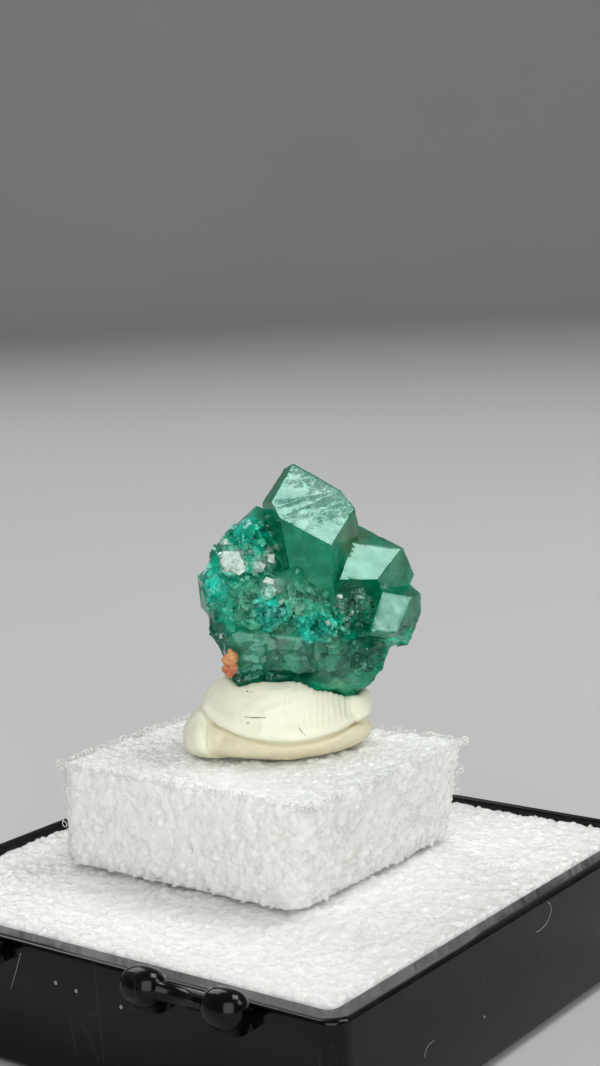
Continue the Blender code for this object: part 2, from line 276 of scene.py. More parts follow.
def apply_modifier(piece: Piece, kind: str, **settings: Any) -> None:
    """Adds a modifier to a piece and applies it.

    Args:
        piece: The piece.
        kind: The modifier's type.
        settings: The modifier's own settings.
    """
    select_only(piece)
    modifier = piece.modifiers.new(kind.lower(), kind)
    for name, value in settings.items():
        setattr(modifier, name, value)
    bpy.ops.object.modifier_apply(modifier=modifier.name)


def shade(piece: Piece, sharp_from: Optional[float] = None) -> None:
    """Shades a piece smooth, but for edges sharper than an angle in degrees, if one is given."""
    select_only(piece)
    if sharp_from is None:
        bpy.ops.object.shade_smooth()
    else:
        bpy.ops.object.shade_smooth_by_angle(angle=math.radians(sharp_from))


def store(piece: Piece, attribute: Attribute, values: Sequence[Any]) -> None:
    """Stores one number a vertex, or one colour for the tint, as a named attribute.

    Args:
        piece: The piece.
        attribute: The attribute.
        values: The vertices' numbers or colours, in their order.
    """
    if attribute is Attribute.TINT:
        layer = piece.data.attributes.new(attribute.value, 'FLOAT_COLOR', 'POINT')
        layer.data.foreach_set("color", [value for colour in values for value in colour])
    else:
        layer = piece.data.attributes.new(attribute.value, 'FLOAT', 'POINT')
        layer.data.foreach_set("value", list(values))


def scatter(base: Piece, places: Sequence[Matrix], name: str) -> Piece:
    """Joins one copy of a small shape for each place in one piece, and removes the shape.

    Args:
        base: The small shape.
        places: Where each copy goes.
        name: The piece's name.

    Returns:
        The piece.
    """
    copies = []
    for place in places:
        copy = bpy.data.objects.new(name, base.data.copy())
        copy.data.transform(place)
        bpy.context.scene.collection.objects.link(copy)
        copies.append(copy)
    bpy.data.objects.remove(base)
    select_only(*copies)
    bpy.ops.object.join()
    copies[0].name = name
    copies[0].data.name = name
    return copies[0]


def finish_piece(piece: Piece, material: Material, slot: str, *nodes: str) -> Piece:
    """Dresses a piece and makes it part of the object.

    Args:
        piece: The piece.
        material: Its material.
        slot: The record's material slot for the piece. It is not used.
        nodes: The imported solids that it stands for.

    Returns:
        The piece.
    """
    piece.data.materials.append(material)
    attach(piece, "root")
    if nodes:
        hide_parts(*nodes)
    LOG.info("%s: %d triangles", piece.name,
             sum(len(face.vertices) - 2 for face in piece.data.polygons))
    return piece


class Refined:
    """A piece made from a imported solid, by a finer mesh and a move for each vertex."""

    node: str
    name: str
    slot: str
    keeps: tuple[Attribute, ...] = (Attribute.TINT,)
    sharp_from: Optional[float] = None

    def prepare(self, piece: Piece) -> None:
        """Gives the copy of the solid its finer mesh."""
        raise NotImplementedError

    def surface(self, vert: bmesh.types.BMVert) -> tuple[Vector, tuple[Any, ...]]:
        """One vertex's move, in metres, and its value of each attribute that the piece keeps."""
        raise NotImplementedError

    def build(self, material: Material) -> Piece:
        """Refines, reshapes and dresses the piece.

        Args:
            material: Its material.

        Returns:
            The piece.
        """
        piece = copy_of_node(self.node, self.name)
        self.prepare(piece)
        for attribute, values in zip(self.keeps, zip(*reshape(piece, self.surface))):
            store(piece, attribute, values)
        shade(piece, self.sharp_from)
        return finish_piece(piece, material, self.slot, self.node)


class NodeBench:
    """Adds and links shader nodes in one node tree."""

    def __init__(self, tree: Tree) -> None:
        """Takes the tree to work in."""
        self.tree = tree

    def feed(self, socket: Socket, value: Any) -> None:
        """Links an output to an input, or sets the input's own value."""
        if isinstance(value, Socket):
            self.tree.links.new(value, socket)
        else:
            socket.default_value = value

    def fill(self, node: bpy.types.Node, inputs: dict[Any, Any]) -> None:
        """Feeds a node's inputs, by name or number."""
        for name, value in inputs.items():
            self.feed(node.inputs[name], value)

    def add(self, kind: str, inputs: Optional[dict[Any, Any]] = None,
            **settings: Any) -> bpy.types.Node:
        """Adds a node.

        Args:
            kind: The node's type name, without its ShaderNode.
            inputs: A value or an output socket for each named input.
            settings: The node's own settings.

        Returns:
            The node.
        """
        node = self.tree.nodes.new("ShaderNode" + kind)
        for name, value in settings.items():
            setattr(node, name, value)
        self.fill(node, inputs or {})
        return node

    def attribute(self, attribute: Attribute, output: str = "Fac") -> Socket:
        """Reads one of the mesh's own values."""
        return self.add("Attribute", attribute_name=attribute.value).outputs[output]

    def mix(self, share: Any, first: Any, second: Any, blend: str = 'MIX') -> Socket:
        """Mixes two colours, and gives the colour that comes out.

        Args:
            share: How much of the second colour is laid on, from 0 to 1.
            first: The first colour.
            second: The second colour.
            blend: The way they are mixed.

        Returns:
            The mixed colour.
        """
        node = self.add("Mix", data_type='RGBA', blend_type=blend)
        sockets = {socket.identifier: socket for socket in node.inputs}
        self.feed(sockets["Factor_Float"], share)
        self.feed(sockets["A_Color"], first)
        self.feed(sockets["B_Color"], second)
        return next(s for s in node.outputs if s.identifier == "Result_Color")

    def calculate(self, operation: str, first: Any, second: Any) -> Socket:
        """One sum on two numbers."""
        return self.add("Math", {0: first, 1: second}, operation=operation).outputs[0]

    def times(self, first: Any, second: Any) -> Socket:
        """The product of two numbers."""
        return self.calculate('MULTIPLY', first, second)

    def combine(self, operation: str, first: Any, second: Any) -> Socket:
        """One sum on two vectors. SCALE takes a number second, DOT_PRODUCT gives a number."""
        other = "Scale" if operation == 'SCALE' else 1
        node = self.add("VectorMath", {0: first, other: second}, operation=operation)
        return node.outputs["Value" if operation == 'DOT_PRODUCT' else "Vector"]

    def remap(self, value: Any, low: Any, high: Any, to_low: float = 0.0,
              to_high: float = 1.0) -> Socket:
        """Moves a number from the range low to high to another range, held within it."""
        return self.add("MapRange", {"Value": value, "From Min": low, "From Max": high,
                                     "To Min": to_low, "To Max": to_high}).outputs["Result"]

    def bump(self, height: Socket, strength: float, distance: float,
             inputs: Optional[dict[str, Any]] = None, **settings: Any) -> Socket:
        """Turns a height into the surface's direction.

        Args:
            height: The height.
            strength: How strongly it shows, from 0 to 1.
            distance: The real height of 1, in metres.
            inputs: More of the node's inputs.
            settings: The node's own settings.

        Returns:
            The direction.
        """
        return self.add("Bump", {"Height": height, "Strength": strength, "Distance": distance,
                                 **(inputs or {})}, **settings).outputs["Normal"]

    def group(self, tree: Tree, place: Socket, **inputs: Any) -> bpy.types.Node:
        """Places a node group.

        Args:
            tree: The group.
            place: The place on the surface that it reads.
            inputs: Its other inputs, with their names in lower case.

        Returns:
            The group's node.
        """
        node = self.tree.nodes.new("ShaderNodeGroup")
        node.node_tree = tree
        self.feed(node.inputs["Place"], place)
        for name, value in inputs.items():
            self.feed(node.inputs[name.capitalize()], value)
        return node

    def mask(self, tree: Tree, place: Socket, **inputs: Any) -> Socket:
        """Places a node group that gives a mask, and gives the mask."""
        return self.group(tree, place, **inputs).outputs["Mask"]


class GroupBench(NodeBench):
    """Builds a node group that reads a place on the surface and some numbers."""

    def __init__(self, name: str, inputs: dict[str, float], *outputs: str) -> None:
        """Starts the group.

        Args:
            name: The group's name.
            inputs: Each number's name and usual value.
            outputs: The names of the numbers that come out.
        """
        super().__init__(bpy.data.node_groups.new(name, "ShaderNodeTree"))
        face = self.tree.interface
        face.new_socket(name="Place", in_out='INPUT', socket_type='NodeSocketVector')
        for label, usual in inputs.items():
            face.new_socket(name=label, in_out='INPUT',
                            socket_type='NodeSocketFloat').default_value = usual
        for label in outputs:
            face.new_socket(name=label, in_out='OUTPUT', socket_type='NodeSocketFloat')
        self.given = self.tree.nodes.new("NodeGroupInput").outputs
        self.sink = self.tree.nodes.new("NodeGroupOutput")

    def pattern(self, kind: str, place: Optional[Socket] = None,
                inputs: Optional[dict[str, Any]] = None, **settings: Any) -> bpy.types.Node:
        """Adds a texture at the group's own scale.

        Args:
            kind: The texture node's type name.
            place: The place it reads, the group's own without it.
            inputs: More of the node's inputs.
            settings: The node's own settings.

        Returns:
            The node.
        """
        where = self.given["Place"] if place is None else place
        return self.add(kind, {"Vector": where, "Scale": self.given["Scale"],
                               **(inputs or {})}, **settings)

    def give(self, **outputs: Socket) -> Tree:
        """Feeds the group's outputs, and gives the finished group."""
        self.fill(self.sink, outputs)
        return self.tree


@dataclass(frozen=True)
class Effects:
    """The effects that more than one finish uses, each a node group."""

    mottle: Tree
    specks: Tree
    scratches: Tree
    growth: Tree
    facets: Tree

    @classmethod
    def build(cls) -> "Effects":
        """Builds the groups once."""
        return cls(cls._mottle(), cls._specks(), cls._scratches(), cls._growth(), cls._facets())

    @staticmethod
    def _mottle() -> Tree:
        """Soft cloudy variation between two levels."""
        bench = GroupBench("soft_mottle", {"Scale": 500.0, "Low": 0.35, "High": 0.65}, "Mask")
        cloud = bench.pattern("TexNoise", inputs={"Detail": 4.0, "Roughness": 0.6})
        return bench.give(Mask=bench.remap(cloud.outputs["Fac"], bench.given["Low"],
                                           bench.given["High"]))

    @staticmethod
    def _specks() -> Tree:
        """Small round specks, such as dust, in some of the cells of a grid."""
        bench = GroupBench("fine_specks", {"Scale": 900.0, "Size": 0.12, "Share": 0.2}, "Mask")
        cells = bench.pattern("TexVoronoi")
        near = bench.calculate('LESS_THAN', cells.outputs["Distance"], bench.given["Size"])
        chosen = bench.add("SeparateColor", {"Color": cells.outputs["Color"]}).outputs["Red"]
        kept = bench.calculate('LESS_THAN', chosen, bench.given["Share"])
        return bench.give(Mask=bench.times(near, kept))

    @staticmethod
    def _scratches() -> Tree:
        """Hair-fine scratches that cross at odd angles, in patches."""
        bench = GroupBench("fine_scratches", {"Scale": 160.0, "Width": 0.015}, "Mask")
        total = None
        for angle, stretch in ((0.5, 14.0), (1.9, 11.0), (2.7, 17.0)):
            turned = bench.add("Mapping", {"Vector": bench.given["Place"],
                                           "Rotation": (angle, angle * 0.7, angle),
                                           "Scale": (1.0, stretch, 1.0)}).outputs["Vector"]
            cells = bench.pattern("TexVoronoi", turned, feature='DISTANCE_TO_EDGE')
            line = bench.calculate('LESS_THAN', cells.outputs["Distance"], bench.given["Width"])
            total = line if total is None else bench.calculate('MAXIMUM', total, line)
        patches = bench.add("TexNoise", {"Vector": bench.given["Place"], "Scale": 300.0})
        shown = bench.calculate('GREATER_THAN', patches.outputs["Fac"], 0.56)
        return bench.give(Mask=bench.times(total, shown))

    @staticmethod
    def _growth() -> Tree:
        """Relief of a grown crystal face: fine wandering steps over low hillocks."""
        bench = GroupBench("growth_relief", {"Scale": 900.0}, "Height")
        turned = bench.add("Mapping", {"Vector": bench.given["Place"],
                                       "Rotation": (0.4, 0.9, 0.3)}).outputs["Vector"]
        steps = bench.pattern("TexWave", turned, {
            "Distortion": 9.0, "Detail": 4.0, "Detail Scale": 1.4, "Detail Roughness": 0.62},
            wave_profile='SAW')
        hillocks = bench.pattern("TexNoise", turned, {"Detail": 5.0, "Roughness": 0.65,
                                                      "Distortion": 0.8})
        part = bench.times(steps.outputs["Fac"], 0.45)
        return bench.give(Height=bench.calculate('ADD', part, hillocks.outputs["Fac"]))

    @staticmethod
    def _facets() -> Tree:
        """Small tilted flats: their relief in metres, a shade for each, and their borders."""
        bench = GroupBench("broken_facets", {"Scale": 2800.0, "Border": 0.05},
                           "Height", "Shade", "Border")
        middle = (0.5, 0.5, 0.5)
        warp = bench.add("TexNoise", {"Vector": bench.given["Place"], "Scale": 900.0})
        shift = bench.combine('SUBTRACT', warp.outputs["Color"], middle)
        place = bench.combine('ADD', bench.given["Place"],
                              bench.combine('SCALE', shift, 0.25 * MM))
        cells = bench.pattern("TexVoronoi", place).outputs
        tilt = bench.combine('SUBTRACT', cells["Color"], middle)
        away = bench.combine('SUBTRACT', place, cells["Position"])
        edges = bench.pattern("TexVoronoi", place, feature='DISTANCE_TO_EDGE')
        return bench.give(
            Height=bench.combine('DOT_PRODUCT', tilt, away),
            Shade=bench.add("SeparateColor", {"Color": cells["Color"]}).outputs["Green"],
            Border=bench.calculate('LESS_THAN', edges.outputs["Distance"],
                                   bench.given["Border"]))


def soaked(share: float, bleed: Colour, reach: float) -> dict[str, Any]:
    """Shader values for light that soaks into a soft thing: its share, its tint, how far."""
    return {"Subsurface Weight": share, "Subsurface Radius": bleed, "Subsurface Scale": reach}


@dataclass(frozen=True)
class Finish:
    """A surface's finish, which becomes a material."""

    name: str

    def inputs(self, bench: NodeBench, effects: Effects, place: Socket) -> dict[str, Any]:
        """What the shader's inputs get, by name: values, or sockets that vary on the surface.

        Args:
            bench: The bench of the material's node tree.
            effects: The shared effects.
            place: The place on the piece that the patterns read.

        Returns:
            The inputs.
        """
        raise NotImplementedError

    def material(self, effects: Effects) -> Material:
        """Builds the material.

        Args:
            effects: The shared effects.

        Returns:
            The material.
        """
        material = bpy.data.materials.new(self.name)
        material.use_nodes = True
        bench = NodeBench(material.node_tree)
        place = bench.add("TexCoord").outputs["Object"]
        bench.fill(material.node_tree.nodes["Principled BSDF"],
                   self.inputs(bench, effects, place))
        return material


# Layers of small flats on broken or cleaved ground: scale, slope, dark borders, spread of shades
FACET_LAYERS: tuple[tuple[Attribute, float, float, float, float], ...] = (
    (Attribute.BROKEN, 1080.0, 0.80, 0.35, 0.50),
    (Attribute.BROKEN, 2500.0, 0.50, 0.0, 0.34),
    (Attribute.CLEAVED, 780.0, 0.24, 0.25, 0.26),
    (Attribute.CLEAVED, 2600.0, 0.12, 0.0, 0.14),
)


@dataclass(frozen=True)
class CrystalFinish(Finish):
    """Clear green crystal, whose tint and breaks come from the mesh."""

    clearness: float
    face_roughness: float
    broken_roughness: float
    relief: float
    absorption: float = 0.0
    index: float = 1.67
    gloss: float = 0.36
    frosting: float = 0.16
    gleam: Colour = (0.80, 1.0, 0.95)
    shadow: Tint = (0.4, 0.62, 0.60, 1.0)
    veil: Colour = (0.45, 0.92, 0.82)
    border: Colour = (0.02, 0.25, 0.20)
    absorbed_to: Colour = (0.10, 0.86, 0.70)

    def inputs(self, bench: NodeBench, effects: Effects, place: Socket) -> dict[str, Any]:
        """The inputs of this finish. The absorption goes to the material's output."""
        tint = bench.attribute(Attribute.TINT, "Color")
        grounds = {Attribute.BROKEN: (bench.attribute(Attribute.BROKEN), place),
                   Attribute.CLEAVED: (bench.attribute(Attribute.CLEAVED), bench.add(
                       "Mapping", {"Vector": place, "Rotation": (0.25, 0.15, 0.0),
                                   "Scale": (0.55, 0.55, 1.5)}).outputs["Vector"])}
        cloudy = bench.mask(effects.mottle, place, scale=620.0, low=0.38, high=0.62)
        body = bench.mix(cloudy, bench.mix(1.0, tint, self.shadow, 'MULTIPLY'), tint)
        veils = bench.mask(effects.mottle, place, scale=1500.0, low=0.52, high=0.66)
        body = bench.mix(bench.times(veils, 0.20), body, linear(self.veil))
        height: Any = 0.0
        for ground, scale, slope, edge, spread in FACET_LAYERS:
            amount, where = grounds[ground]
            flats = bench.group(effects.facets, where, scale=scale, border=0.03).outputs
            shades = bench.remap(flats["Shade"], 0.1, 0.9, 1.0 - spread, 1.0 + spread)
            body = bench.mix(amount, body, bench.mix(1.0, body, shades, 'MULTIPLY'))
            if edge > 0.0:
                border = bench.times(bench.times(flats["Border"], amount), edge)
                body = bench.mix(border, body, linear(self.border))
            part = bench.times(flats["Height"], bench.times(amount, slope))
            height = bench.calculate('ADD', height, part)
        worn = bench.remap(grounds[Attribute.BROKEN][0], 0.0, 1.0, self.face_roughness,
                           self.broken_roughness)
        frost = bench.times(bench.attribute(Attribute.FROST), self.frosting)
        uneven = bench.mask(effects.mottle, place, scale=1700.0, low=0.3, high=0.7)
        growth = bench.group(effects.growth, place, scale=1300.0).outputs["Height"]
        if self.absorption > 0.0:
            inside = bench.add("VolumeAbsorption", {"Color": linear(self.absorbed_to),
                                                    "Density": self.absorption})
            bench.fill(bench.tree.nodes["Material Output"],
                       {"Volume": inside.outputs["Volume"]})
        return {"Base Color": body,
                "Roughness": bench.times(bench.calculate('ADD', worn, frost),
                                         bench.remap(uneven, 0.0, 1.0, 0.7, 1.5)),
                "Normal": bench.bump(
                    bench.calculate('ADD', height, bench.times(growth, self.relief)), 1.0, 1.0),
                "Transmission Weight": self.clearness,
                "IOR": self.index,
                "Specular IOR Level": self.gloss,
                "Specular Tint": linear(self.gleam)}


@dataclass(frozen=True)
class PuttyFinish(Finish):
    """Cream mineral putty, with soft blotches and a few dark specks."""

    name: str = "cream_putty"
    shade: Colour = (0.87, 0.84, 0.74)
    speck: Colour = (0.35, 0.33, 0.28)
    roughness: float = 0.46

    def inputs(self, bench: NodeBench, effects: Effects, place: Socket) -> dict[str, Any]:
        """The inputs of this finish."""
        cloudy = bench.mask(effects.mottle, place, scale=420.0, low=0.35, high=0.7)
        specks = bench.mask(effects.specks, place, scale=1300.0, size=0.10, share=0.02)
        body = bench.mix(bench.times(cloudy, 0.22), bench.attribute(Attribute.TINT, "Color"),
                         linear(self.shade))
        grain = bench.add("TexNoise", {"Vector": place, "Scale": 4200.0, "Detail": 3.0})
        return {"Base Color": bench.mix(bench.times(specks, 0.5), body, linear(self.speck)),
                "Roughness": bench.remap(cloudy, 0.0, 1.0, self.roughness - 0.1,
                                         self.roughness + 0.1),
                "Normal": bench.bump(grain.outputs["Fac"], 0.25, 0.03 * MM),
                **soaked(0.35, (1.0, 0.85, 0.55), 0.6 * MM)}


@dataclass(frozen=True)
class FoamFinish(Finish):
    """White cellular foam, whose cells are in the mesh, with painted shade in their pits."""

    white: Colour = (0.970, 0.974, 0.955)
    # Painted shade that the cells' pits are darkened to
    shade: Colour = (0.945, 0.950, 0.925)
    blotch: Colour = (0.88, 0.90, 0.86)
    roughness: float = 0.24
    soft: float = 0.75

    def inputs(self, bench: NodeBench, effects: Effects, place: Socket) -> dict[str, Any]:
        """The inputs of this finish."""
        cloudy = bench.mask(effects.mottle, place, scale=380.0, low=0.3, high=0.7)
        # Painted shade: the deeper in a cut cell, the more the white goes to the shade colour
        body = bench.mix(bench.times(bench.attribute(Attribute.PIT), 0.8), linear(self.white),
                         linear(self.shade))
        film = bench.add("TexVoronoi", {"Vector": place, "Scale": 4600.0})
        return {"Base Color": bench.mix(bench.times(cloudy, 0.18), body, linear(self.blotch)),
                "Roughness": bench.remap(cloudy, 0.0, 1.0, self.roughness - 0.12,
                                         self.roughness + 0.15),
                "Normal": bench.bump(film.outputs["Distance"], 0.55, 0.08 * MM, invert=True),
                **soaked(self.soft, (1.0, 1.0, 1.0), 2.4 * MM)}


@dataclass(frozen=True)
class TrayFinish(Finish):
    """Glossy black moulded plastic with dust and fine scratches."""

    name: str = "black_plastic"
    black: Colour = (0.030, 0.034, 0.030)
    scratch: Colour = (0.30, 0.31, 0.30)
    dust: Colour = (0.62, 0.62, 0.60)
    roughness: float = 0.10

    def inputs(self, bench: NodeBench, effects: Effects, place: Socket) -> dict[str, Any]:
        """The inputs of this finish."""
        dust = bench.mask(effects.specks, place, scale=700.0, size=0.075, share=0.16)
        scratches = bench.mask(effects.scratches, place, scale=120.0, width=0.006)
        handled = bench.mask(effects.mottle, place, scale=130.0, low=0.42, high=0.7)
        body = bench.mix(bench.times(scratches, 0.12), linear(self.black), linear(self.scratch))
        rough = bench.remap(handled, 0.0, 1.0, self.roughness, self.roughness + 0.14)
        sink = bench.add("TexNoise", {"Vector": place, "Scale": 150.0, "Detail": 1.0})
        uneven = bench.bump(sink.outputs["Fac"], 0.12, 0.3 * MM)
        return {"Base Color": bench.mix(bench.times(dust, 0.75), body, linear(self.dust)),
                "Roughness": bench.calculate('ADD', rough, bench.times(dust, 0.5)),
                "Normal": bench.bump(scratches, 0.25, 0.01 * MM, {"Normal": uneven},
                                     invert=True),
                "IOR": 1.52,
                "Specular IOR Level": 0.26}


@dataclass(frozen=True)
class GrainFinish(Finish):
    """Orange mineral with pale blotches and a waxy shine."""

    name: str = "orange_mineral"
    pale: Colour = (0.92, 0.72, 0.55)

    def inputs(self, bench: NodeBench, effects: Effects, place: Socket) -> dict[str, Any]:
        """The inputs of this finish."""
        cloudy = bench.mask(effects.mottle, place, scale=2600.0, low=0.35, high=0.65)
        grit = bench.add("TexNoise", {"Vector": place, "Scale": 7000.0, "Detail": 4.0})
        return {"Base Color": bench.mix(bench.times(cloudy, 0.4),
                                        bench.attribute(Attribute.TINT, "Color"),
                                        linear(self.pale)),
                "Roughness": bench.remap(cloudy, 0.0, 1.0, 0.32, 0.6),
                "Normal": bench.bump(grit.outputs["Fac"], 0.5, 0.04 * MM),
                **soaked(0.15, (1.0, 0.45, 0.25), 0.3 * MM)}


@dataclass(frozen=True)
class PlainFinish(Finish):
    """A plain fibre, chip or backdrop, with a soft mottle."""

    colour: Colour
    roughness: float = 0.6
    variation: float = 0.12
    scale: float = 900.0

    def inputs(self, bench: NodeBench, effects: Effects, place: Socket) -> dict[str, Any]:
        """The inputs of this finish."""
        cloudy = bench.mask(effects.mottle, place, scale=self.scale)
        darker = tuple(value * (1.0 - self.variation) for value in self.colour)
        return {"Base Color": bench.mix(cloudy, linear(self.colour), linear(darker)),
                "Roughness": self.roughness}


@dataclass(frozen=True)
class Zone:
    """A round region of the specimen's front, in the display frame, full inside its soft edge."""

    middle: tuple[float, float]
    reach: tuple[float, float]
    strength: float = 1.0
    colour: Colour = (0.0, 0.5, 0.4)
    depth: float = 3.2
    faces: Optional[tuple[float, float]] = None
    full_within: float = 0.6
    gone_beyond: float = 1.3
    fade: float = 0.8
    same_face: float = 0.93

    def share(self, place: Vector, normal: Optional[Vector] = None) -> float:
        """How much a point belongs to the zone, from 0 to 1.

        Args:
            place: The point.
            normal: The surface's direction there. A zone on one face only asks for it.

        Returns:
            The share.
        """
        if self.faces is not None:
            if normal is None or normal.dot(facing(*self.faces)) < self.same_face:
                return 0.0
        deepest = self.depth + self.fade
        away = math.hypot((place.x - self.middle[0]) / self.reach[0],
                          (place.z - self.middle[1]) / self.reach[1])
        if away > self.gone_beyond or place.y > deepest:
            return 0.0
        return (self.strength * smooth_step(deepest, self.depth, place.y)
                * smooth_step(self.gone_beyond, self.full_within, away))


DEEP_GREEN: Colour = (0.00, 0.58, 0.41)
TEAL: Colour = (0.00, 0.90, 0.74)
# Bright cyan of the spots of painted glow, which stand for light gathered inside the crystal
PAINTED_GLOW_CYAN: Colour = (0.22, 1.0, 0.90)
PALE_GREEN: Colour = (0.60, 0.93, 0.78)
GREY_GREEN: Colour = (0.52, 0.76, 0.64)
DARK_GREEN: Colour = (0.02, 0.34, 0.29)
OLIVE: Colour = (0.50, 0.58, 0.38)
BROWNISH: Colour = (0.47, 0.50, 0.42)
WHITE_GREEN: Colour = (0.95, 1.0, 0.96)
# Pale mint of the frosted end faces, partly a painted sheen of the overhead light's reflection
MINT_FROST_AND_PAINTED_SHEEN: Colour = (0.82, 1.0, 0.93)

# Colours of the crystal group, each laid over the ones before it
TINT_ZONES: tuple[Zone, ...] = (
    # End faces turned to the overhead light: real frost, and a painted sheen of its reflection
    Zone((3.4, 20.0), (4.4, 3.4), 0.92, MINT_FROST_AND_PAINTED_SHEEN, 7.0, (30.0, 46.0)),
    Zone((6.4, 17.0), (2.2, 1.8), 0.45, MINT_FROST_AND_PAINTED_SHEEN, 7.0, (27.0, 46.0)),
    Zone((7.4, 13.5), (1.9, 2.2), 0.85, MINT_FROST_AND_PAINTED_SHEEN, 5.0, (35.0, 29.0)),
    Zone((8.6, 14.0), (1.6, 2.6), 0.7, (0.0, 0.56, 0.42), 6.0, (63.0, -1.0)),
    Zone((-1.2, 18.0), (1.9, 2.2), 0.95, TEAL, 4.5),
    Zone((-2.0, 14.6), (1.4, 2.6), 0.95, TEAL, 4.5),
    Zone((1.0, 14.6), (2.6, 1.4), 0.85, PALE_GREEN),
    Zone((3.0, 13.4), (1.8, 1.2), 0.6, TEAL),
    Zone((0.5, 12.0), (2.4, 1.2), 0.85, GREY_GREEN, 4.0),
    Zone((3.6, 11.6), (1.6, 1.3), 0.8, (0.44, 0.60, 0.50), 4.0),
    Zone((4.6, 10.6), (1.1, 0.9), 0.75, GREY_GREEN, 4.0),
    Zone((5.5, 11.8), (1.1, 1.3), 0.85, DARK_GREEN, 4.0),
    # A dark band of painted shade along the foot, where it recedes above the putty
    Zone((0.4, 10.45), (2.8, 0.6), 0.9, DARK_GREEN, 4.0),
    Zone((-2.4, 12.8), (0.7, 1.0), 0.8, DARK_GREEN, 4.0),
    Zone((2.4, 11.0), (0.35, 1.3), 0.7, DARK_GREEN, 2.5),
    Zone((1.2, 12.7), (0.8, 0.4), 0.7, BROWNISH),
    Zone((0.3, 13.1), (0.7, 0.5), 0.8, (0.25, 0.80, 0.62)),
    Zone((5.4, 17.7), (0.9, 1.0), 0.8, OLIVE, 4.5),
    Zone((7.4, 16.2), (0.9, 1.0), 0.6, GREY_GREEN, 4.5),
    Zone((5.2, 14.6), (0.9, 1.1), 0.65, BROWNISH),
    # Spots of painted glow: the tint also lightens them beyond their colour
    Zone((0.50, 14.3), (0.80, 1.20), 1.0, PAINTED_GLOW_CYAN),
    Zone((2.9, 13.2), (1.1, 0.8), 0.9, PAINTED_GLOW_CYAN),
    Zone((-2.6, 15.6), (0.7, 1.0), 0.9, PAINTED_GLOW_CYAN, 4.5),
    Zone((-0.9, 18.9), (0.8, 0.8), 0.7, PAINTED_GLOW_CYAN, 4.0),
    Zone((-1.33, 16.9), (0.72, 0.62), 1.0, WHITE_GREEN, 2.4),
    Zone((0.31, 16.71), (0.34, 0.36), 1.0, WHITE_GREEN, 2.0),
    Zone((0.70, 17.35), (0.34, 0.34), 1.0, WHITE_GREEN, 2.0),
    Zone((0.8, 15.6), (0.5, 0.35), 0.8, WHITE_GREEN, 2.0),
    Zone((4.6, 14.3), (0.35, 0.3), 0.9, WHITE_GREEN, 2.5),
    Zone((7.5, 12.0), (0.7, 0.4), 0.8, (0.36, 0.82, 0.72), 3.4),
)

# Where the group is broken and sugary instead of grown to flat faces
BROKEN_ZONES: tuple[Zone, ...] = (
    Zone((1.0, 14.4), (2.7, 1.35)),
    Zone((3.4, 13.4), (1.4, 1.0)),
    Zone((5.1, 13.9), (1.1, 0.9)),
    Zone((-1.3, 17.1), (1.7, 1.9), 0.75, depth=4.0),
    Zone((0.2, 17.6), (0.9, 1.4), 0.8),
    Zone((-2.4, 15.0), (0.6, 2.2), 0.7, depth=4.5),
    Zone((5.9, 11.4), (1.0, 1.3), 0.6, depth=3.5),
    Zone((-2.4, 12.9), (0.6, 0.8), 0.6, depth=4.0),
)


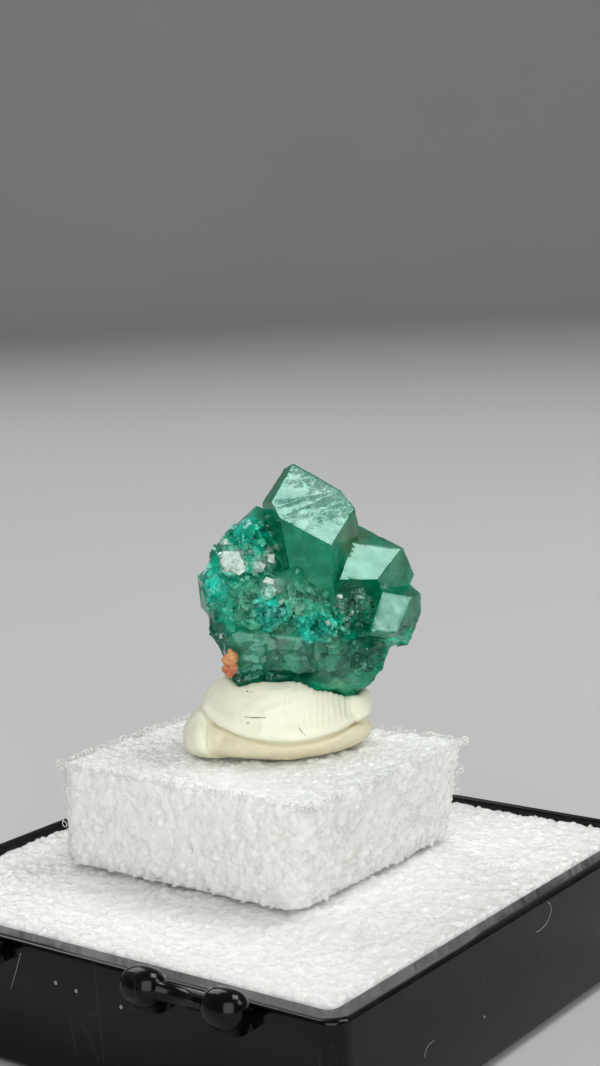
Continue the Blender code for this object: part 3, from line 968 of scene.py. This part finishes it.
@dataclass
class CrystalGroup(Refined):
    """The green crystals, grown together: broken ground, nicked edges and silky cleavage."""

    node: str = "dioptase"
    name: str = "crystal_group"
    slot: str = "green_crystal"
    keeps: tuple[Attribute, ...] = (Attribute.TINT, Attribute.BROKEN, Attribute.CLEAVED,
                                    Attribute.FROST)
    sharp_from: float = 11.0
    coarse: float = 0.36 * MM
    middling: float = 0.21 * MM
    fine: float = 0.118 * MM
    foot_top: float = 13.2
    block_cell: float = 1.25
    block_relief: float = 0.80
    grain_cell: float = 0.58
    grain_relief: float = 0.30
    edge_calm: float = 0.35
    step_cell: float = 1.30
    step_relief: float = 0.60
    nick: float = 0.05
    silky: float = 0.06
    sharp_angle: float = math.radians(14)
    back_from: float = 3.4
    back_share: float = 0.45
    grain_lightness: tuple[float, float] = (0.70, 0.8)
    step_lightness: tuple[float, float] = (0.65, 0.7)
    # Lightness that the spots of painted glow are raised to, and the cap on the tint
    painted_glow: float = 1.35

    def broken(self, place: Vector) -> float:
        """How broken the surface is at a point of the display frame, from 0 to 1."""
        front = max(zone.share(place) for zone in BROKEN_ZONES)
        rough_back = 0.0
        if place.y > self.back_from:
            patch = noise.noise(place * 0.45 + Vector((3.0, 9.0, 4.0)))
            rough_back = self.back_share * smooth_step(0.0, 0.35, patch)
            rough_back *= smooth_step(self.back_from, 4.6, place.y)
            rough_back *= smooth_step(16.0, 14.8, place.z)
        return max(front, rough_back)

    @staticmethod
    def frost(place: Vector, normal: Vector) -> float:
        """How frosted the surface is at a point: the grown end faces are."""
        return max(zone.share(place, normal) for zone in TINT_ZONES if zone.colour is MINT_FROST_AND_PAINTED_SHEEN)

    def cleaved(self, place: Vector) -> float:
        """How much the silky, stepped cleavage of the foot shows at a point."""
        return smooth_step(13.3, 12.5, place.z) * (1.0 - self.broken(place))

    def tint(self, place: Vector, normal: Vector) -> Tint:
        """The crystal's colour at a point of the display frame, with painted glow, sheen and
        shade.

        Args:
            place: The point.
            normal: The surface's direction there.

        Returns:
            The colour, linear, with alpha. A spot of painted glow goes a little over 1.
        """
        depth = noise.noise(place * 0.5) * 0.5 + 0.5
        colour = hue(DEEP_GREEN).lerp(hue(TEAL), 0.30 * depth)
        broken = self.broken(place)
        cleaved = self.cleaved(place)
        flat = place
        lightness = 1.0
        if broken > 0.2:
            flat = facet_at(place, self.grain_cell)[1].lerp(
                facet_at(place, self.block_cell)[1], 0.35)
            darkest, spread = self.grain_lightness
            lightness = darkest + spread * chance(flat * 9.1)
        elif cleaved > 0.3:
            flat = facet_at(place, self.step_cell)[1]
            darkest, spread = self.step_lightness
            lightness = darkest + spread * chance(flat * 9.1)
            flat = place.lerp(flat, 0.5)
        for zone in TINT_ZONES:
            share = zone.share(flat, normal)
            if share > 0.0:
                patchy = 0.8 + 0.5 * noise.noise(place * 2.2)
                share = min(1.0, share * patchy)
                colour = colour.lerp(hue(zone.colour), share)
                # Painted glow: a cyan spot is lightened towards the painted glow's lightness
                if zone.colour is PAINTED_GLOW_CYAN:
                    lightness += (self.painted_glow - lightness) * share
        colour = colour * (1.0 + (lightness - 1.0) * max(broken, cleaved))
        return (*(min(self.painted_glow, value) for value in colour), 1.0)

    def surface(self, vert: bmesh.types.BMVert) -> tuple[Vector, tuple[Any, ...]]:
        """What becomes of one vertex of the solid.

        Args:
            vert: The vertex.

        Returns:
            Its move in metres, and its tint, brokenness, cleavage and frost.
        """
        place = TO_DISPLAY @ vert.co
        broken = self.broken(place)
        cleaved = self.cleaved(place)
        height = broken * self.block_relief * facet_at(place, self.block_cell)[0]
        height += broken * self.grain_relief * facet_at(place, self.grain_cell)[0]
        height += cleaved * self.step_relief * facet_at(place, self.step_cell)[0]
        streak = Vector((place.x * 0.8, place.y * 0.8, place.z * 3.2))
        height += cleaved * self.silky * noise.noise(streak)
        if bend_at(vert) > self.sharp_angle:
            height *= self.edge_calm
            height -= self.nick * max(0.0, noise.noise(place * 3.1) + 0.1)
        normal = (TO_DISPLAY.to_3x3() @ vert.normal).normalized()
        return vert.normal * (height * MM), (self.tint(place, normal), broken, cleaved,
                                             self.frost(place, normal))

    def prepare(self, piece: Piece) -> None:
        """Splits the solid's edges, finest on broken ground and finer than usual on the foot."""
        split_long_edges(piece, self.coarse)
        split_long_edges(piece, self.middling,
                         lambda middle: (TO_DISPLAY @ middle).z < self.foot_top)
        split_long_edges(piece, self.fine,
                         lambda middle: self.broken(TO_DISPLAY @ middle) > 0.25)


@dataclass
class SugarShards:
    """Hundreds of tiny crystals and splinters that crust the broken ground."""

    count: int = 240
    smallest: float = 0.12 * MM
    largest: float = 0.52 * MM
    broken_from: float = 0.55
    one_vertex_in: int = 3
    lean: float = 0.75
    # Share of nearly white shards: whitish grains, and painted glints of light
    white_grain_and_glint_share: float = 0.05
    end_angle: float = math.radians(51)
    seed: int = 5

    def shard(self) -> Piece:
        """One small crystal, a prism with three end faces at each tip, about one unit long."""
        select_only()
        bpy.ops.mesh.primitive_cylinder_add(vertices=6, radius=0.42, depth=1.6)
        piece = bpy.context.active_object
        across = math.sin(self.end_angle)
        for end, first in ((1, 90), (-1, 150)):
            for third in range(3):
                angle = math.radians(120 * third + first)
                normal = (across * math.cos(angle), across * math.sin(angle),
                          end * math.cos(self.end_angle))
                with editing(piece):
                    bpy.ops.mesh.select_all(action='SELECT')
                    bpy.ops.mesh.bisect(plane_co=(0, 0, end * 0.55), plane_no=normal,
                                        use_fill=True, clear_outer=True)
        return piece

    def build(self, group: CrystalGroup, ground: Piece, material: Material) -> Piece:
        """Strews the shards over the broken ground of the crystal group.

        Args:
            group: Says the group's tints.
            ground: The crystal group's piece, which says where it is broken.
            material: The shards' material.

        Returns:
            The piece.
        """
        rng = random.Random(self.seed)
        broken = ground.data.attributes[Attribute.BROKEN.value].data
        spots = [vert for vert in ground.data.vertices
                 if broken[vert.index].value > self.broken_from
                 and vert.index % self.one_vertex_in == 0]
        places = []
        for vert in rng.sample(spots, min(self.count, len(spots))):
            size = self.smallest + (self.largest - self.smallest) * rng.random() ** 2.2
            upright = vert.normal.to_track_quat('Z', 'Y').to_matrix().to_4x4()
            turn = Euler((rng.gauss(0.0, self.lean), rng.gauss(0.0, self.lean),
                          rng.uniform(0, FULL_TURN)))
            stretch = Matrix.Diagonal((size, size * rng.uniform(0.5, 1.0),
                                       size * rng.uniform(0.9, 1.6), 1.0))
            places.append(Matrix.Translation(vert.co) @ upright
                          @ turn.to_matrix().to_4x4() @ stretch)
        piece = scatter(self.shard(), places, "crystal_shards")
        tints = []
        whole = len(piece.data.vertices) // len(places)
        for place in places:
            tint = Vector(group.tint(TO_DISPLAY @ place.translation, Vector((0, 0, 1)))[:3])
            # Nearly white shards are partly whitish grains and partly painted glints
            share = 0.9 if rng.random() < self.white_grain_and_glint_share else rng.uniform(0.02, 0.25)
            tints.extend([(*tint.lerp(hue(WHITE_GREEN), share), 1.0)] * whole)
        store(piece, Attribute.TINT, tints)
        for attribute in (Attribute.BROKEN, Attribute.CLEAVED, Attribute.FROST):
            store(piece, attribute, [0.0] * len(tints))
        return finish_piece(piece, material, "green_crystal")


# White frosted flats on the group's left and middle: where, width, height and lean in degrees
FROSTED_FLAKES: tuple[tuple[Point, float, float, float], ...] = (
    ((-1.40, 0.6, 17.05), 1.35, 1.10, 25.0),
    ((-1.05, 0.6, 16.60), 0.95, 0.80, -30.0),
    ((0.31, 0.5, 16.71), 0.46, 0.60, 10.0),
    ((0.70, 0.5, 17.35), 0.44, 0.50, 40.0),
    ((-1.75, 0.9, 18.05), 0.40, 0.30, 0.0),
    ((0.62, 0.0, 15.90), 0.55, 0.60, 70.0),
    ((4.45, 0.5, 14.85), 0.40, 0.30, 20.0),
    ((-2.75, 1.2, 12.75), 0.34, 0.30, 50.0),
)


@dataclass
class FrostedFlakes:
    """White frosted flats, each an uneven five-sided chip half sunk in the crystals."""

    depth: float = 0.34 * MM
    unevenness: float = 0.30
    faces: tuple[float, float] = (14.0, 26.0)

    def build(self, ground: Piece, material: Material) -> Piece:
        """Sets the chips in the crystal group's front.

        Args:
            ground: The crystal group's piece.
            material: The chips' material.

        Returns:
            The piece.
        """
        upright = (TURN_FROM_DISPLAY @ facing(*self.faces)).to_track_quat('Z', 'Y')
        places = []
        for middle, width, height, lean in FROSTED_FLAKES:
            spot = ground.closest_point_on_mesh(FROM_DISPLAY @ Vector(middle))[1]
            places.append(Matrix.Translation(spot) @ upright.to_matrix().to_4x4()
                          @ Matrix.Rotation(math.radians(lean), 4, 'Z')
                          @ Matrix.Diagonal((width * MM, height * MM, self.depth, 1.0)))
        select_only()
        bpy.ops.mesh.primitive_cylinder_add(vertices=5, radius=0.5, depth=1.0)
        piece = scatter(bpy.context.active_object, places, "frosted_flakes")
        reshape(piece, lambda vert: (
            noise.noise_vector(vert.co / MM * 3.1) * self.unevenness * MM, None))
        return finish_piece(piece, material, "green_crystal")


@dataclass
class OrangeGrain(Refined):
    """The little orange mineral grain on the group's lower left, grown to the crystals."""

    node: str = "orange_grain"
    name: str = "orange_grain_lump"
    slot: str = "orange_mineral"
    sharp_from: float = 30.0
    longest: float = 0.055 * MM
    lumps: tuple[float, float] = (0.26, 0.38)
    small_lumps: tuple[float, float] = (0.10, 0.17)
    waist: float = -0.12
    reach_back: float = 0.28
    peach: Colour = (0.84, 0.58, 0.37)
    red: Colour = (0.70, 0.29, 0.15)

    def prepare(self, piece: Piece) -> None:
        """Splits the solid's edges."""
        split_long_edges(piece, self.longest)

    def surface(self, vert: bmesh.types.BMVert) -> tuple[Vector, tuple[Any, ...]]:
        """What becomes of one vertex of the solid, red low down but for a peach tip.

        Args:
            vert: The vertex.

        Returns:
            Its move in metres, and its tint.
        """
        place = TO_DISPLAY @ vert.co
        up = place.z - (TO_DISPLAY @ ((GRAIN_LOW + GRAIN_HIGH) / 2)).z
        up /= (GRAIN_HIGH.z - GRAIN_LOW.z) / 2 / MM
        height = 0.04 * noise.noise(place * 5.0) - 0.12 * bell(up, self.waist, 0.12)
        for relief, cell in (self.lumps, self.small_lumps):
            height += relief * facet_at(place, cell)[0]
        back = Vector((0, self.reach_back * max(0.0, vert.normal.y), 0))
        share = smooth_step(0.15, -0.25, up + 0.35 * noise.noise(place * 3.0))
        colour = hue(self.peach).lerp(hue(self.red), share)
        colour = colour.lerp(hue(self.peach), smooth_step(-0.78, -0.95, up))
        return FROM_DISPLAY.to_3x3() @ back + vert.normal * height * MM, ((*colour, 1.0),)


@dataclass
class PuttyLump(Refined):
    """The pressed lump of putty: a lobe over a lip, with a side fold and finger marks."""

    node: str = "putty"
    name: str = "putty_lump"
    slot: str = "cream_putty"
    voxel: float = 0.085 * MM
    swell: float = 0.16
    crease_low: float = 7.10
    crease_middle: float = 1.83
    crease_curve: float = 0.043
    crease_ends: tuple[float, float] = (-3.0, 5.6)
    crease_depth: float = 0.34
    crease_width: float = 0.11
    overhang: float = 0.22
    fold_x: float = -3.0
    fold_bow: float = 0.28
    fold_depth: float = 0.24
    ridge_from: float = 1.0
    ridge_to: float = 4.8
    ridge_pitch: float = 0.30
    ridge_height: float = 0.040
    cream: Colour = (0.97, 0.965, 0.875)
    beige: Colour = (0.86, 0.82, 0.70)

    def above_crease(self, place: Vector) -> float:
        """How far a point is above the crease between lobe and lip."""
        crease = self.crease_low + self.crease_curve * (place.x - self.crease_middle) ** 2
        return place.z - crease

    def crease(self, place: Vector) -> float:
        """Relief of the crease, and of the lobe that hangs over it."""
        left, right = self.crease_ends
        within = smooth_step(left - 0.5, left + 0.2, place.x)
        within *= smooth_step(right + 0.5, right - 0.3, place.x)
        above = self.above_crease(place)
        return within * (self.overhang * bell(above, 0.38, 0.26)
                         - self.crease_depth * bell(above, 0.0, self.crease_width))

    def fold(self, place: Vector) -> float:
        """Relief of the bowed fold at the left, and of the swelling beside it."""
        bow = max(0.0, 1.0 - ((place.z - 7.35) / 0.9) ** 2)
        beside = place.x - (self.fold_x - self.fold_bow * bow)
        return bow * (0.10 * bell(beside, -0.35, 0.25) - self.fold_depth * bell(beside, 0.0, 0.09))

    def ridges(self, place: Vector) -> float:
        """Relief of the fine ridges that a finger left on the lobe's right half."""
        share = smooth_step(self.ridge_from - 0.5, self.ridge_from + 0.6, place.x)
        share *= smooth_step(self.ridge_to + 0.4, self.ridge_to - 0.6, place.x)
        share *= smooth_step(0.25, 0.75, self.above_crease(place))
        share *= 0.65 + 0.6 * noise.noise(place * 1.3)
        wave = place.x - 0.10 * (place.z - 8.4) ** 2 + 0.22 * noise.noise(place * 0.9)
        return self.ridge_height * share * math.sin(2 * math.pi * wave / self.ridge_pitch)

    def skin(self, place: Vector) -> float:
        """Relief of the hand-pressed surface, with fine level wrinkles on the lip."""
        pressed = Vector((place.x * 0.9, place.y * 0.9, place.z * 1.8))
        wrinkle = Vector((place.x * 0.9, place.y * 0.9, place.z * 6.0))
        on_lip = smooth_step(0.1, -0.3, self.above_crease(place))
        return (0.08 * noise.noise(pressed) + 0.03 * noise.noise(place * 3.0)
                + 0.030 * on_lip * noise.noise(wrinkle))

    def tint(self, place: Vector) -> Tint:
        """The putty's colour at a point: cream, and beige on the lip and the foot."""
        low = smooth_step(0.10, -0.12, self.above_crease(place))
        low *= smooth_step(-3.3, -2.7, place.x) * smooth_step(4.5, 2.5, place.y)
        share = min(1.0, 0.75 * low + 0.35 * smooth_step(7.0, 6.3, place.z))
        return (*hue(self.cream).lerp(hue(self.beige), share), 1.0)

    def prepare(self, piece: Piece) -> None:
        """Softens the solid."""
        apply_modifier(piece, 'REMESH', mode='VOXEL', voxel_size=self.voxel, adaptivity=0.0)
        apply_modifier(piece, 'SMOOTH', factor=0.6, iterations=14)

    def surface(self, vert: bmesh.types.BMVert) -> tuple[Vector, tuple[Any, ...]]:
        """A vertex's move, and its tint."""
        place = TO_DISPLAY @ vert.co
        front = smooth_step(3.4, 1.6, place.y)
        marks = self.crease(place) + self.fold(place) + self.ridges(place)
        height = self.swell + front * marks + self.skin(place)
        return vert.normal * (height * MM), (self.tint(place),)


@dataclass
class CellFoam(Refined):
    """One piece of white foam, cut through its cells all over what shows of it."""

    node: str
    name: str
    voxel: float
    cell: float
    torn: float
    shown: Where
    depth: float = 0.17
    closed_share: float = 0.70
    slot: str = "white_foam"
    keeps: tuple[Attribute, ...] = (Attribute.PIT,)

    def prepare(self, piece: Piece) -> None:
        """Gives the solid an even mesh."""
        apply_modifier(piece, 'REMESH', mode='VOXEL', voxel_size=self.voxel, adaptivity=0.0)

    def relief(self, place: Vector) -> tuple[float, float]:
        """The cut cells at a point, in millimetres.

        Args:
            place: The point.

        Returns:
            The height, and how deep in a cell the point is, from 0 to 1.
        """
        scaled = place / self.cell
        distances, points = noise.voronoi(scaled)
        kind = chance(points[0] * 5.7)
        inside = smooth_step(0.06, 0.40, distances[1] - distances[0])
        uneven = 0.45 * self.depth * noise.noise(scaled * 0.45)
        if kind > self.closed_share:
            return 0.60 * self.depth * inside + uneven, 0.0
        return uneven - self.depth * inside * (0.6 + kind), inside

    def surface(self, vert: bmesh.types.BMVert) -> tuple[Vector, tuple[Any, ...]]:
        """A vertex's move, and how deep in a cell it is."""
        if not self.shown(vert.co):
            return Vector(), (0.0,)
        height, pit = self.relief(vert.co / MM)
        ragged = self.torn * smooth_step(0.15, 0.5, bend_at(vert))
        height += ragged * noise.noise(vert.co / MM * 2.6)
        return vert.normal * (height * MM), (pit,)


@dataclass
class CellRims:
    """Thin rims of cut cells that stand up along the block's edges and on its sides."""

    edge_count: int = 520
    side_count: int = 520
    smallest: float = 0.22
    largest: float = 0.46
    inset: float = 0.05 * MM
    seed: int = 21

    def rim(self) -> Piece:
        """One thin rim of a cut cell, uneven and about one unit across."""
        select_only()
        bpy.ops.mesh.primitive_torus_add(major_segments=11, minor_segments=4,
                                         major_radius=0.5, minor_radius=0.055)
        piece = bpy.context.active_object
        reshape(piece, lambda vert: (0.28 * noise.noise_vector(vert.co * 1.6), None))
        return piece

    def spot(self, rng: random.Random, on_edge: bool, foot_right: float) -> Vector:
        """A random spot on the block's upper edges, or on its sides.

        Args:
            rng: The random numbers.
            on_edge: Whether the spot is on an upper edge.
            foot_right: How far the block's slanted side reaches at its foot.

        Returns:
            The spot.
        """
        low, high = BLOCK_LOW, BLOCK_HIGH
        if on_edge:
            height = high.z - abs(rng.gauss(0.0, 0.10)) * MM
        else:
            height = rng.uniform(low.z + 0.3 * MM, high.z)
        share = (height - low.z) / (high.z - low.z)
        right = foot_right + (high.x - foot_right) * share
        width = right - low.x
        depth = high.y - low.y
        walk = rng.uniform(0.0, 2.0 * (width + depth))
        if walk < width:
            return Vector((low.x + walk, low.y + self.inset, height))
        walk -= width
        if walk < depth:
            return Vector((right - self.inset, low.y + walk, height))
        walk -= depth
        if walk < width:
            return Vector((right - walk, high.y - self.inset, height))
        return Vector((low.x + self.inset, high.y - (walk - width), height))

    def build(self, material: Material) -> Piece:
        """Sets the rims on the block's upper edges and on its sides.

        Args:
            material: The rims' material.

        Returns:
            The piece.
        """
        foot_right = max(vert.co.x for vert in frame["nodes"]["foam_block"].data.vertices
                         if vert.co.z < BLOCK_LOW.z + 0.2 * MM)
        rng = random.Random(self.seed)
        places = []
        for number in range(self.edge_count + self.side_count):
            spot = self.spot(rng, number < self.edge_count, foot_right)
            size = rng.uniform(self.smallest, self.largest) * MM
            turn = Euler([rng.uniform(0, FULL_TURN) for _ in range(3)])
            places.append(Matrix.Translation(spot) @ turn.to_matrix().to_4x4()
                          @ Matrix.Diagonal((size, size, size, 1.0)))
        piece = scatter(self.rim(), places, "foam_cell_rims")
        store(piece, Attribute.PIT, [0.0] * len(piece.data.vertices))
        shade(piece)
        return finish_piece(piece, material, "white_foam")


@dataclass
class TrayShell:
    """The black tray, with smooth rounded edges and hinge lugs."""

    smooth_angle: float = 32.0

    def build(self, material: Material) -> Piece:
        """Takes the solid's shape and shades its rounds smooth.

        Args:
            material: The tray's material.

        Returns:
            The piece.
        """
        piece = copy_of_node("tray", "tray_shell")
        shade(piece, self.smooth_angle)
        apply_modifier(piece, 'WEIGHTED_NORMAL', keep_sharp=True, weight=80)
        return finish_piece(piece, material, "black_plastic", "tray")


@dataclass(frozen=True)
class Fibre:
    """A hair or scrap of lint: the points it runs through, and its thickness."""

    points: Sequence[Vector]
    thickness: float


@dataclass
class Lint:
    """Hairs and scraps that lie on one piece."""

    name: str
    slot: str
    fibres: tuple[Fibre, ...]

    def tube(self, fibre: Fibre, ground: Piece) -> Piece:
        """One fibre, a thin tube along a smooth curve.

        Args:
            fibre: The fibre.
            ground: The piece it lies on.

        Returns:
            The tube, still a curve.
        """
        curve = bpy.data.curves.new(self.name, 'CURVE')
        curve.dimensions = '3D'
        curve.bevel_depth = fibre.thickness / 2
        curve.bevel_resolution = 1
        curve.use_fill_caps = True
        curve.resolution_u = 6
        spline = curve.splines.new('BEZIER')
        spline.bezier_points.add(len(fibre.points) - 1)
        for point, place in zip(spline.bezier_points, fibre.points):
            point.co = ground.closest_point_on_mesh(place)[1]
            point.handle_left_type = 'AUTO'
            point.handle_right_type = 'AUTO'
        tube = bpy.data.objects.new(self.name, curve)
        bpy.context.scene.collection.objects.link(tube)
        return tube

    def build(self, ground: Piece, material: Material) -> Piece:
        """Makes the fibres and joins them.

        Args:
            ground: The piece they lie on.
            material: Their material.

        Returns:
            The piece.
        """
        select_only(*[self.tube(fibre, ground) for fibre in self.fibres])
        bpy.ops.object.convert(target='MESH')
        bpy.ops.object.join()
        piece = bpy.context.view_layer.objects.active
        piece.name = self.name
        with editing(piece):
            bpy.ops.mesh.select_all(action='SELECT')
            bpy.ops.mesh.remove_doubles(threshold=MERGE_WITHIN)
        shade(piece)
        return finish_piece(piece, material, self.slot)


def display_points(*points: Point) -> tuple[Vector, ...]:
    """Points of the display frame, moved to the object's own frame."""
    return tuple(FROM_DISPLAY @ Vector(point) for point in points)


def wall_points(*points: Point) -> tuple[Vector, ...]:
    """Points on the tray's walls, in millimetres."""
    return tuple(Vector(point) * MM for point in points)


PUTTY_FIBRES: tuple[Fibre, ...] = (
    Fibre(display_points((-0.85, -0.6, 8.42), (-0.5, -0.7, 8.50), (0.14, -0.9, 8.51)),
          0.045 * MM),
    Fibre(display_points((1.84, -1.2, 7.95), (2.0, -1.3, 7.72), (2.23, -1.4, 7.54)),
          0.030 * MM),
    Fibre(display_points((-0.85, 0.0, 9.74), (-0.78, 0.0, 9.80)), 0.07 * MM),
    Fibre(display_points((-0.55, 0.0, 9.62), (-0.50, 0.0, 9.64)), 0.05 * MM),
)

TRAY_HAIRS: tuple[Fibre, ...] = (
    Fibre(wall_points((16, 2.74, 7.0), (16, 3.13, 6.59), (16, 2.90, 6.06), (16, 1.94, 5.72),
                      (16, 1.53, 5.75)), 0.035 * MM),
    Fibre(wall_points((16, -9.2, 3.1), (16, -8.9, 3.5), (16, -8.3, 3.6)), 0.03 * MM),
    Fibre(wall_points((-3.6, -16, 6.6), (-4.0, -16, 5.6), (-4.5, -16, 4.5)), 0.03 * MM),
)


@dataclass(frozen=True)
class SoftLight:
    """A square soft light that shines at the specimen."""

    name: str
    azimuth: float
    height: float
    distance: float
    half_angle: float
    radiance: float

    def build(self, target: Vector) -> None:
        """Hangs the light and turns it to the target.

        Args:
            target: The point it shines at.
        """
        side = 2 * self.distance * math.tan(math.radians(self.half_angle))
        lamp = bpy.data.lights.new(self.name, 'AREA')
        lamp.shape = 'SQUARE'
        lamp.size = side
        lamp.energy = self.radiance * math.pi * side * side
        light = bpy.data.objects.new(self.name, lamp)
        towards = TURN_FROM_DISPLAY @ facing(self.azimuth, self.height)
        light.location = target + towards * self.distance
        light.rotation_euler = towards.to_track_quat('Z', 'Y').to_euler()
        bpy.context.scene.collection.objects.link(light)


@dataclass
class Studio:
    """A pale floor that sweeps up into a backdrop all round, soft lights and the camera."""

    floor_radius: float = 0.75
    sweep_radius: float = 0.30
    sweep_steps: int = 14
    wall_height: float = 0.62
    pale: Colour = (0.76, 0.765, 0.76)
    air: Tint = (0.97, 0.985, 1.0, 1.0)
    ambient: float = 0.20
    camera_place: Point = (0.06313, -0.08000, 0.04203)
    camera_yaw: float = 36.93
    camera_pitch: float = 9.108
    camera_roll: float = -2.326
    lens: float = 64.3
    lit: Point = (3.0, 2.6, 14.0)
    lights: tuple[SoftLight, ...] = (
        SoftLight("key_softbox", 104.0, 60.0, 0.50, 12.0, 7.0),
        SoftLight("side_softbox", 81.0, 33.0, 0.50, 9.0, 4.0),
        SoftLight("front_fill", -4.0, 28.0, 0.55, 27.0, 2.4),
        SoftLight("back_glow", -150.0, 42.0, 0.50, 14.0, 3.0),
    )

    def build_floor(self, effects: Effects) -> None:
        """Grows the floor and its sweep from a disc, ring by ring.

        Args:
            effects: The shared effects.
        """
        select_only()
        bpy.ops.mesh.primitive_circle_add(vertices=96, radius=self.floor_radius,
                                          fill_type='TRIFAN')
        floor = bpy.context.active_object
        floor.name = "studio_floor"
        for step in range(self.sweep_steps):
            before, turn = (math.radians(90 * count / self.sweep_steps)
                            for count in (step, step + 1))
            self._raise_rim(floor, self.sweep_radius * (math.sin(turn) - math.sin(before)),
                            self.sweep_radius * (math.cos(before) - math.cos(turn)))
        self._raise_rim(floor, 0.0, self.wall_height - self.sweep_radius)
        bpy.ops.object.shade_smooth()
        floor.data.materials.append(
            PlainFinish("pale_floor", self.pale, 0.75, 0.015, 6.0).material(effects))

    @staticmethod
    def _raise_rim(floor: Piece, out: float, up: float) -> None:
        """Extrudes the sweep's free edge by one step.

        Args:
            floor: The floor.
            out: How far the edge goes outwards.
            up: How far it goes up.
        """
        with editing(floor, 'EDGE') as mesh:
            for edge in mesh.edges:
                if edge.is_boundary:
                    edge.select_set(True)
            bmesh.update_edit_mesh(floor.data)
            bpy.ops.mesh.extrude_edges_move(TRANSFORM_OT_translate={"value": (0, 0, up)})
            mesh = bmesh.from_edit_mesh(floor.data)
            radius = max(math.hypot(v.co.x, v.co.y) for v in mesh.verts if v.select)
            share = (radius + out) / radius
            bpy.ops.transform.resize(value=(share, share, 1.0), center_override=(0, 0, 0))

    def build_world(self) -> None:
        """Fills the room with dim neutral light."""
        world = bpy.data.worlds.new("studio_air")
        world.use_nodes = True
        NodeBench(world.node_tree).fill(world.node_tree.nodes["Background"],
                                        {"Color": self.air, "Strength": self.ambient})
        bpy.context.scene.world = world

    def build_camera(self) -> None:
        """Sets the camera where the photograph was taken from."""
        camera = bpy.data.cameras.new("photo_camera")
        camera.lens = self.lens
        camera.sensor_width = 36.0
        camera.clip_start = 0.005
        camera.clip_end = 10.0
        holder = bpy.data.objects.new("photo_camera", camera)
        turn = (Matrix.Rotation(math.radians(self.camera_yaw), 4, 'Z')
                @ Matrix.Rotation(math.radians(90 - self.camera_pitch), 4, 'X')
                @ Matrix.Rotation(math.radians(self.camera_roll), 4, 'Z'))
        holder.matrix_world = Matrix.Translation(self.camera_place) @ turn
        bpy.context.scene.collection.objects.link(holder)
        bpy.context.scene.camera = holder

    def build(self, effects: Effects) -> None:
        """Builds the whole studio.

        Args:
            effects: The shared effects.
        """
        self.build_camera()
        self.build_world()
        self.build_floor(effects)
        for light in self.lights:
            light.build(FROM_DISPLAY @ Vector(self.lit))
        bpy.context.scene.view_settings.view_transform = 'Standard'
        LOG.info("studio ready")


def block_shows(middle: Vector) -> bool:
    """Whether a point of the foam block can be seen: all but its underside."""
    return middle.z > BLOCK_LOW.z + 0.02 * MM


def pad_shows(middle: Vector) -> bool:
    """Whether a point of the foam pad can be seen: its top, but not under the block."""
    if middle.z < RIM_HEIGHT - 0.35 * MM:
        return False
    margin = 1.6 * MM
    return not (BLOCK_LOW.x + margin < middle.x < BLOCK_HIGH.x - 2 * margin
                and BLOCK_LOW.y + margin < middle.y < BLOCK_HIGH.y - margin)


def main() -> None:
    """Builds the studio and every piece of the object."""
    logging.basicConfig(level=logging.INFO, format="%(name)s: %(message)s")
    effects = Effects.build()
    Studio().build(effects)

    tray = TrayShell().build(TrayFinish().material(effects))
    Lint("tray_hairs", "black_plastic", TRAY_HAIRS).build(
        tray, PlainFinish("pale_hair", (0.62, 0.60, 0.56)).material(effects))
    CellFoam("foam_pad", "foam_sheet", 0.158 * MM, 0.34, 0.12, pad_shows).build(
        FoamFinish("sheet_foam").material(effects))
    CellFoam("foam_block", "foam_stand", 0.098 * MM, 0.40, 0.24, block_shows).build(
        FoamFinish("block_foam").material(effects))
    CellRims().build(FoamFinish("torn_foam", roughness=0.22, soft=0.0).material(effects))
    putty = PuttyLump().build(PuttyFinish().material(effects))
    Lint("putty_fibres", "cream_putty", PUTTY_FIBRES).build(
        putty, PlainFinish("dark_fibre", (0.24, 0.21, 0.17)).material(effects))

    group = CrystalGroup()
    ground = group.build(CrystalFinish("green_crystal", 0.52, 0.11, 0.10, 0.0008 * MM,
                                       absorption=95.0).material(effects))
    SugarShards().build(group, ground, CrystalFinish("green_splinters", 0.40, 0.08, 0.3,
                                                     0.001 * MM).material(effects))
    FrostedFlakes().build(ground, PlainFinish("frosted_white", (0.87, 0.95, 0.90), 0.32, 0.28,
                                              3800.0).material(effects))
    OrangeGrain().build(GrainFinish().material(effects))


if __name__ == "__main__":
    main()
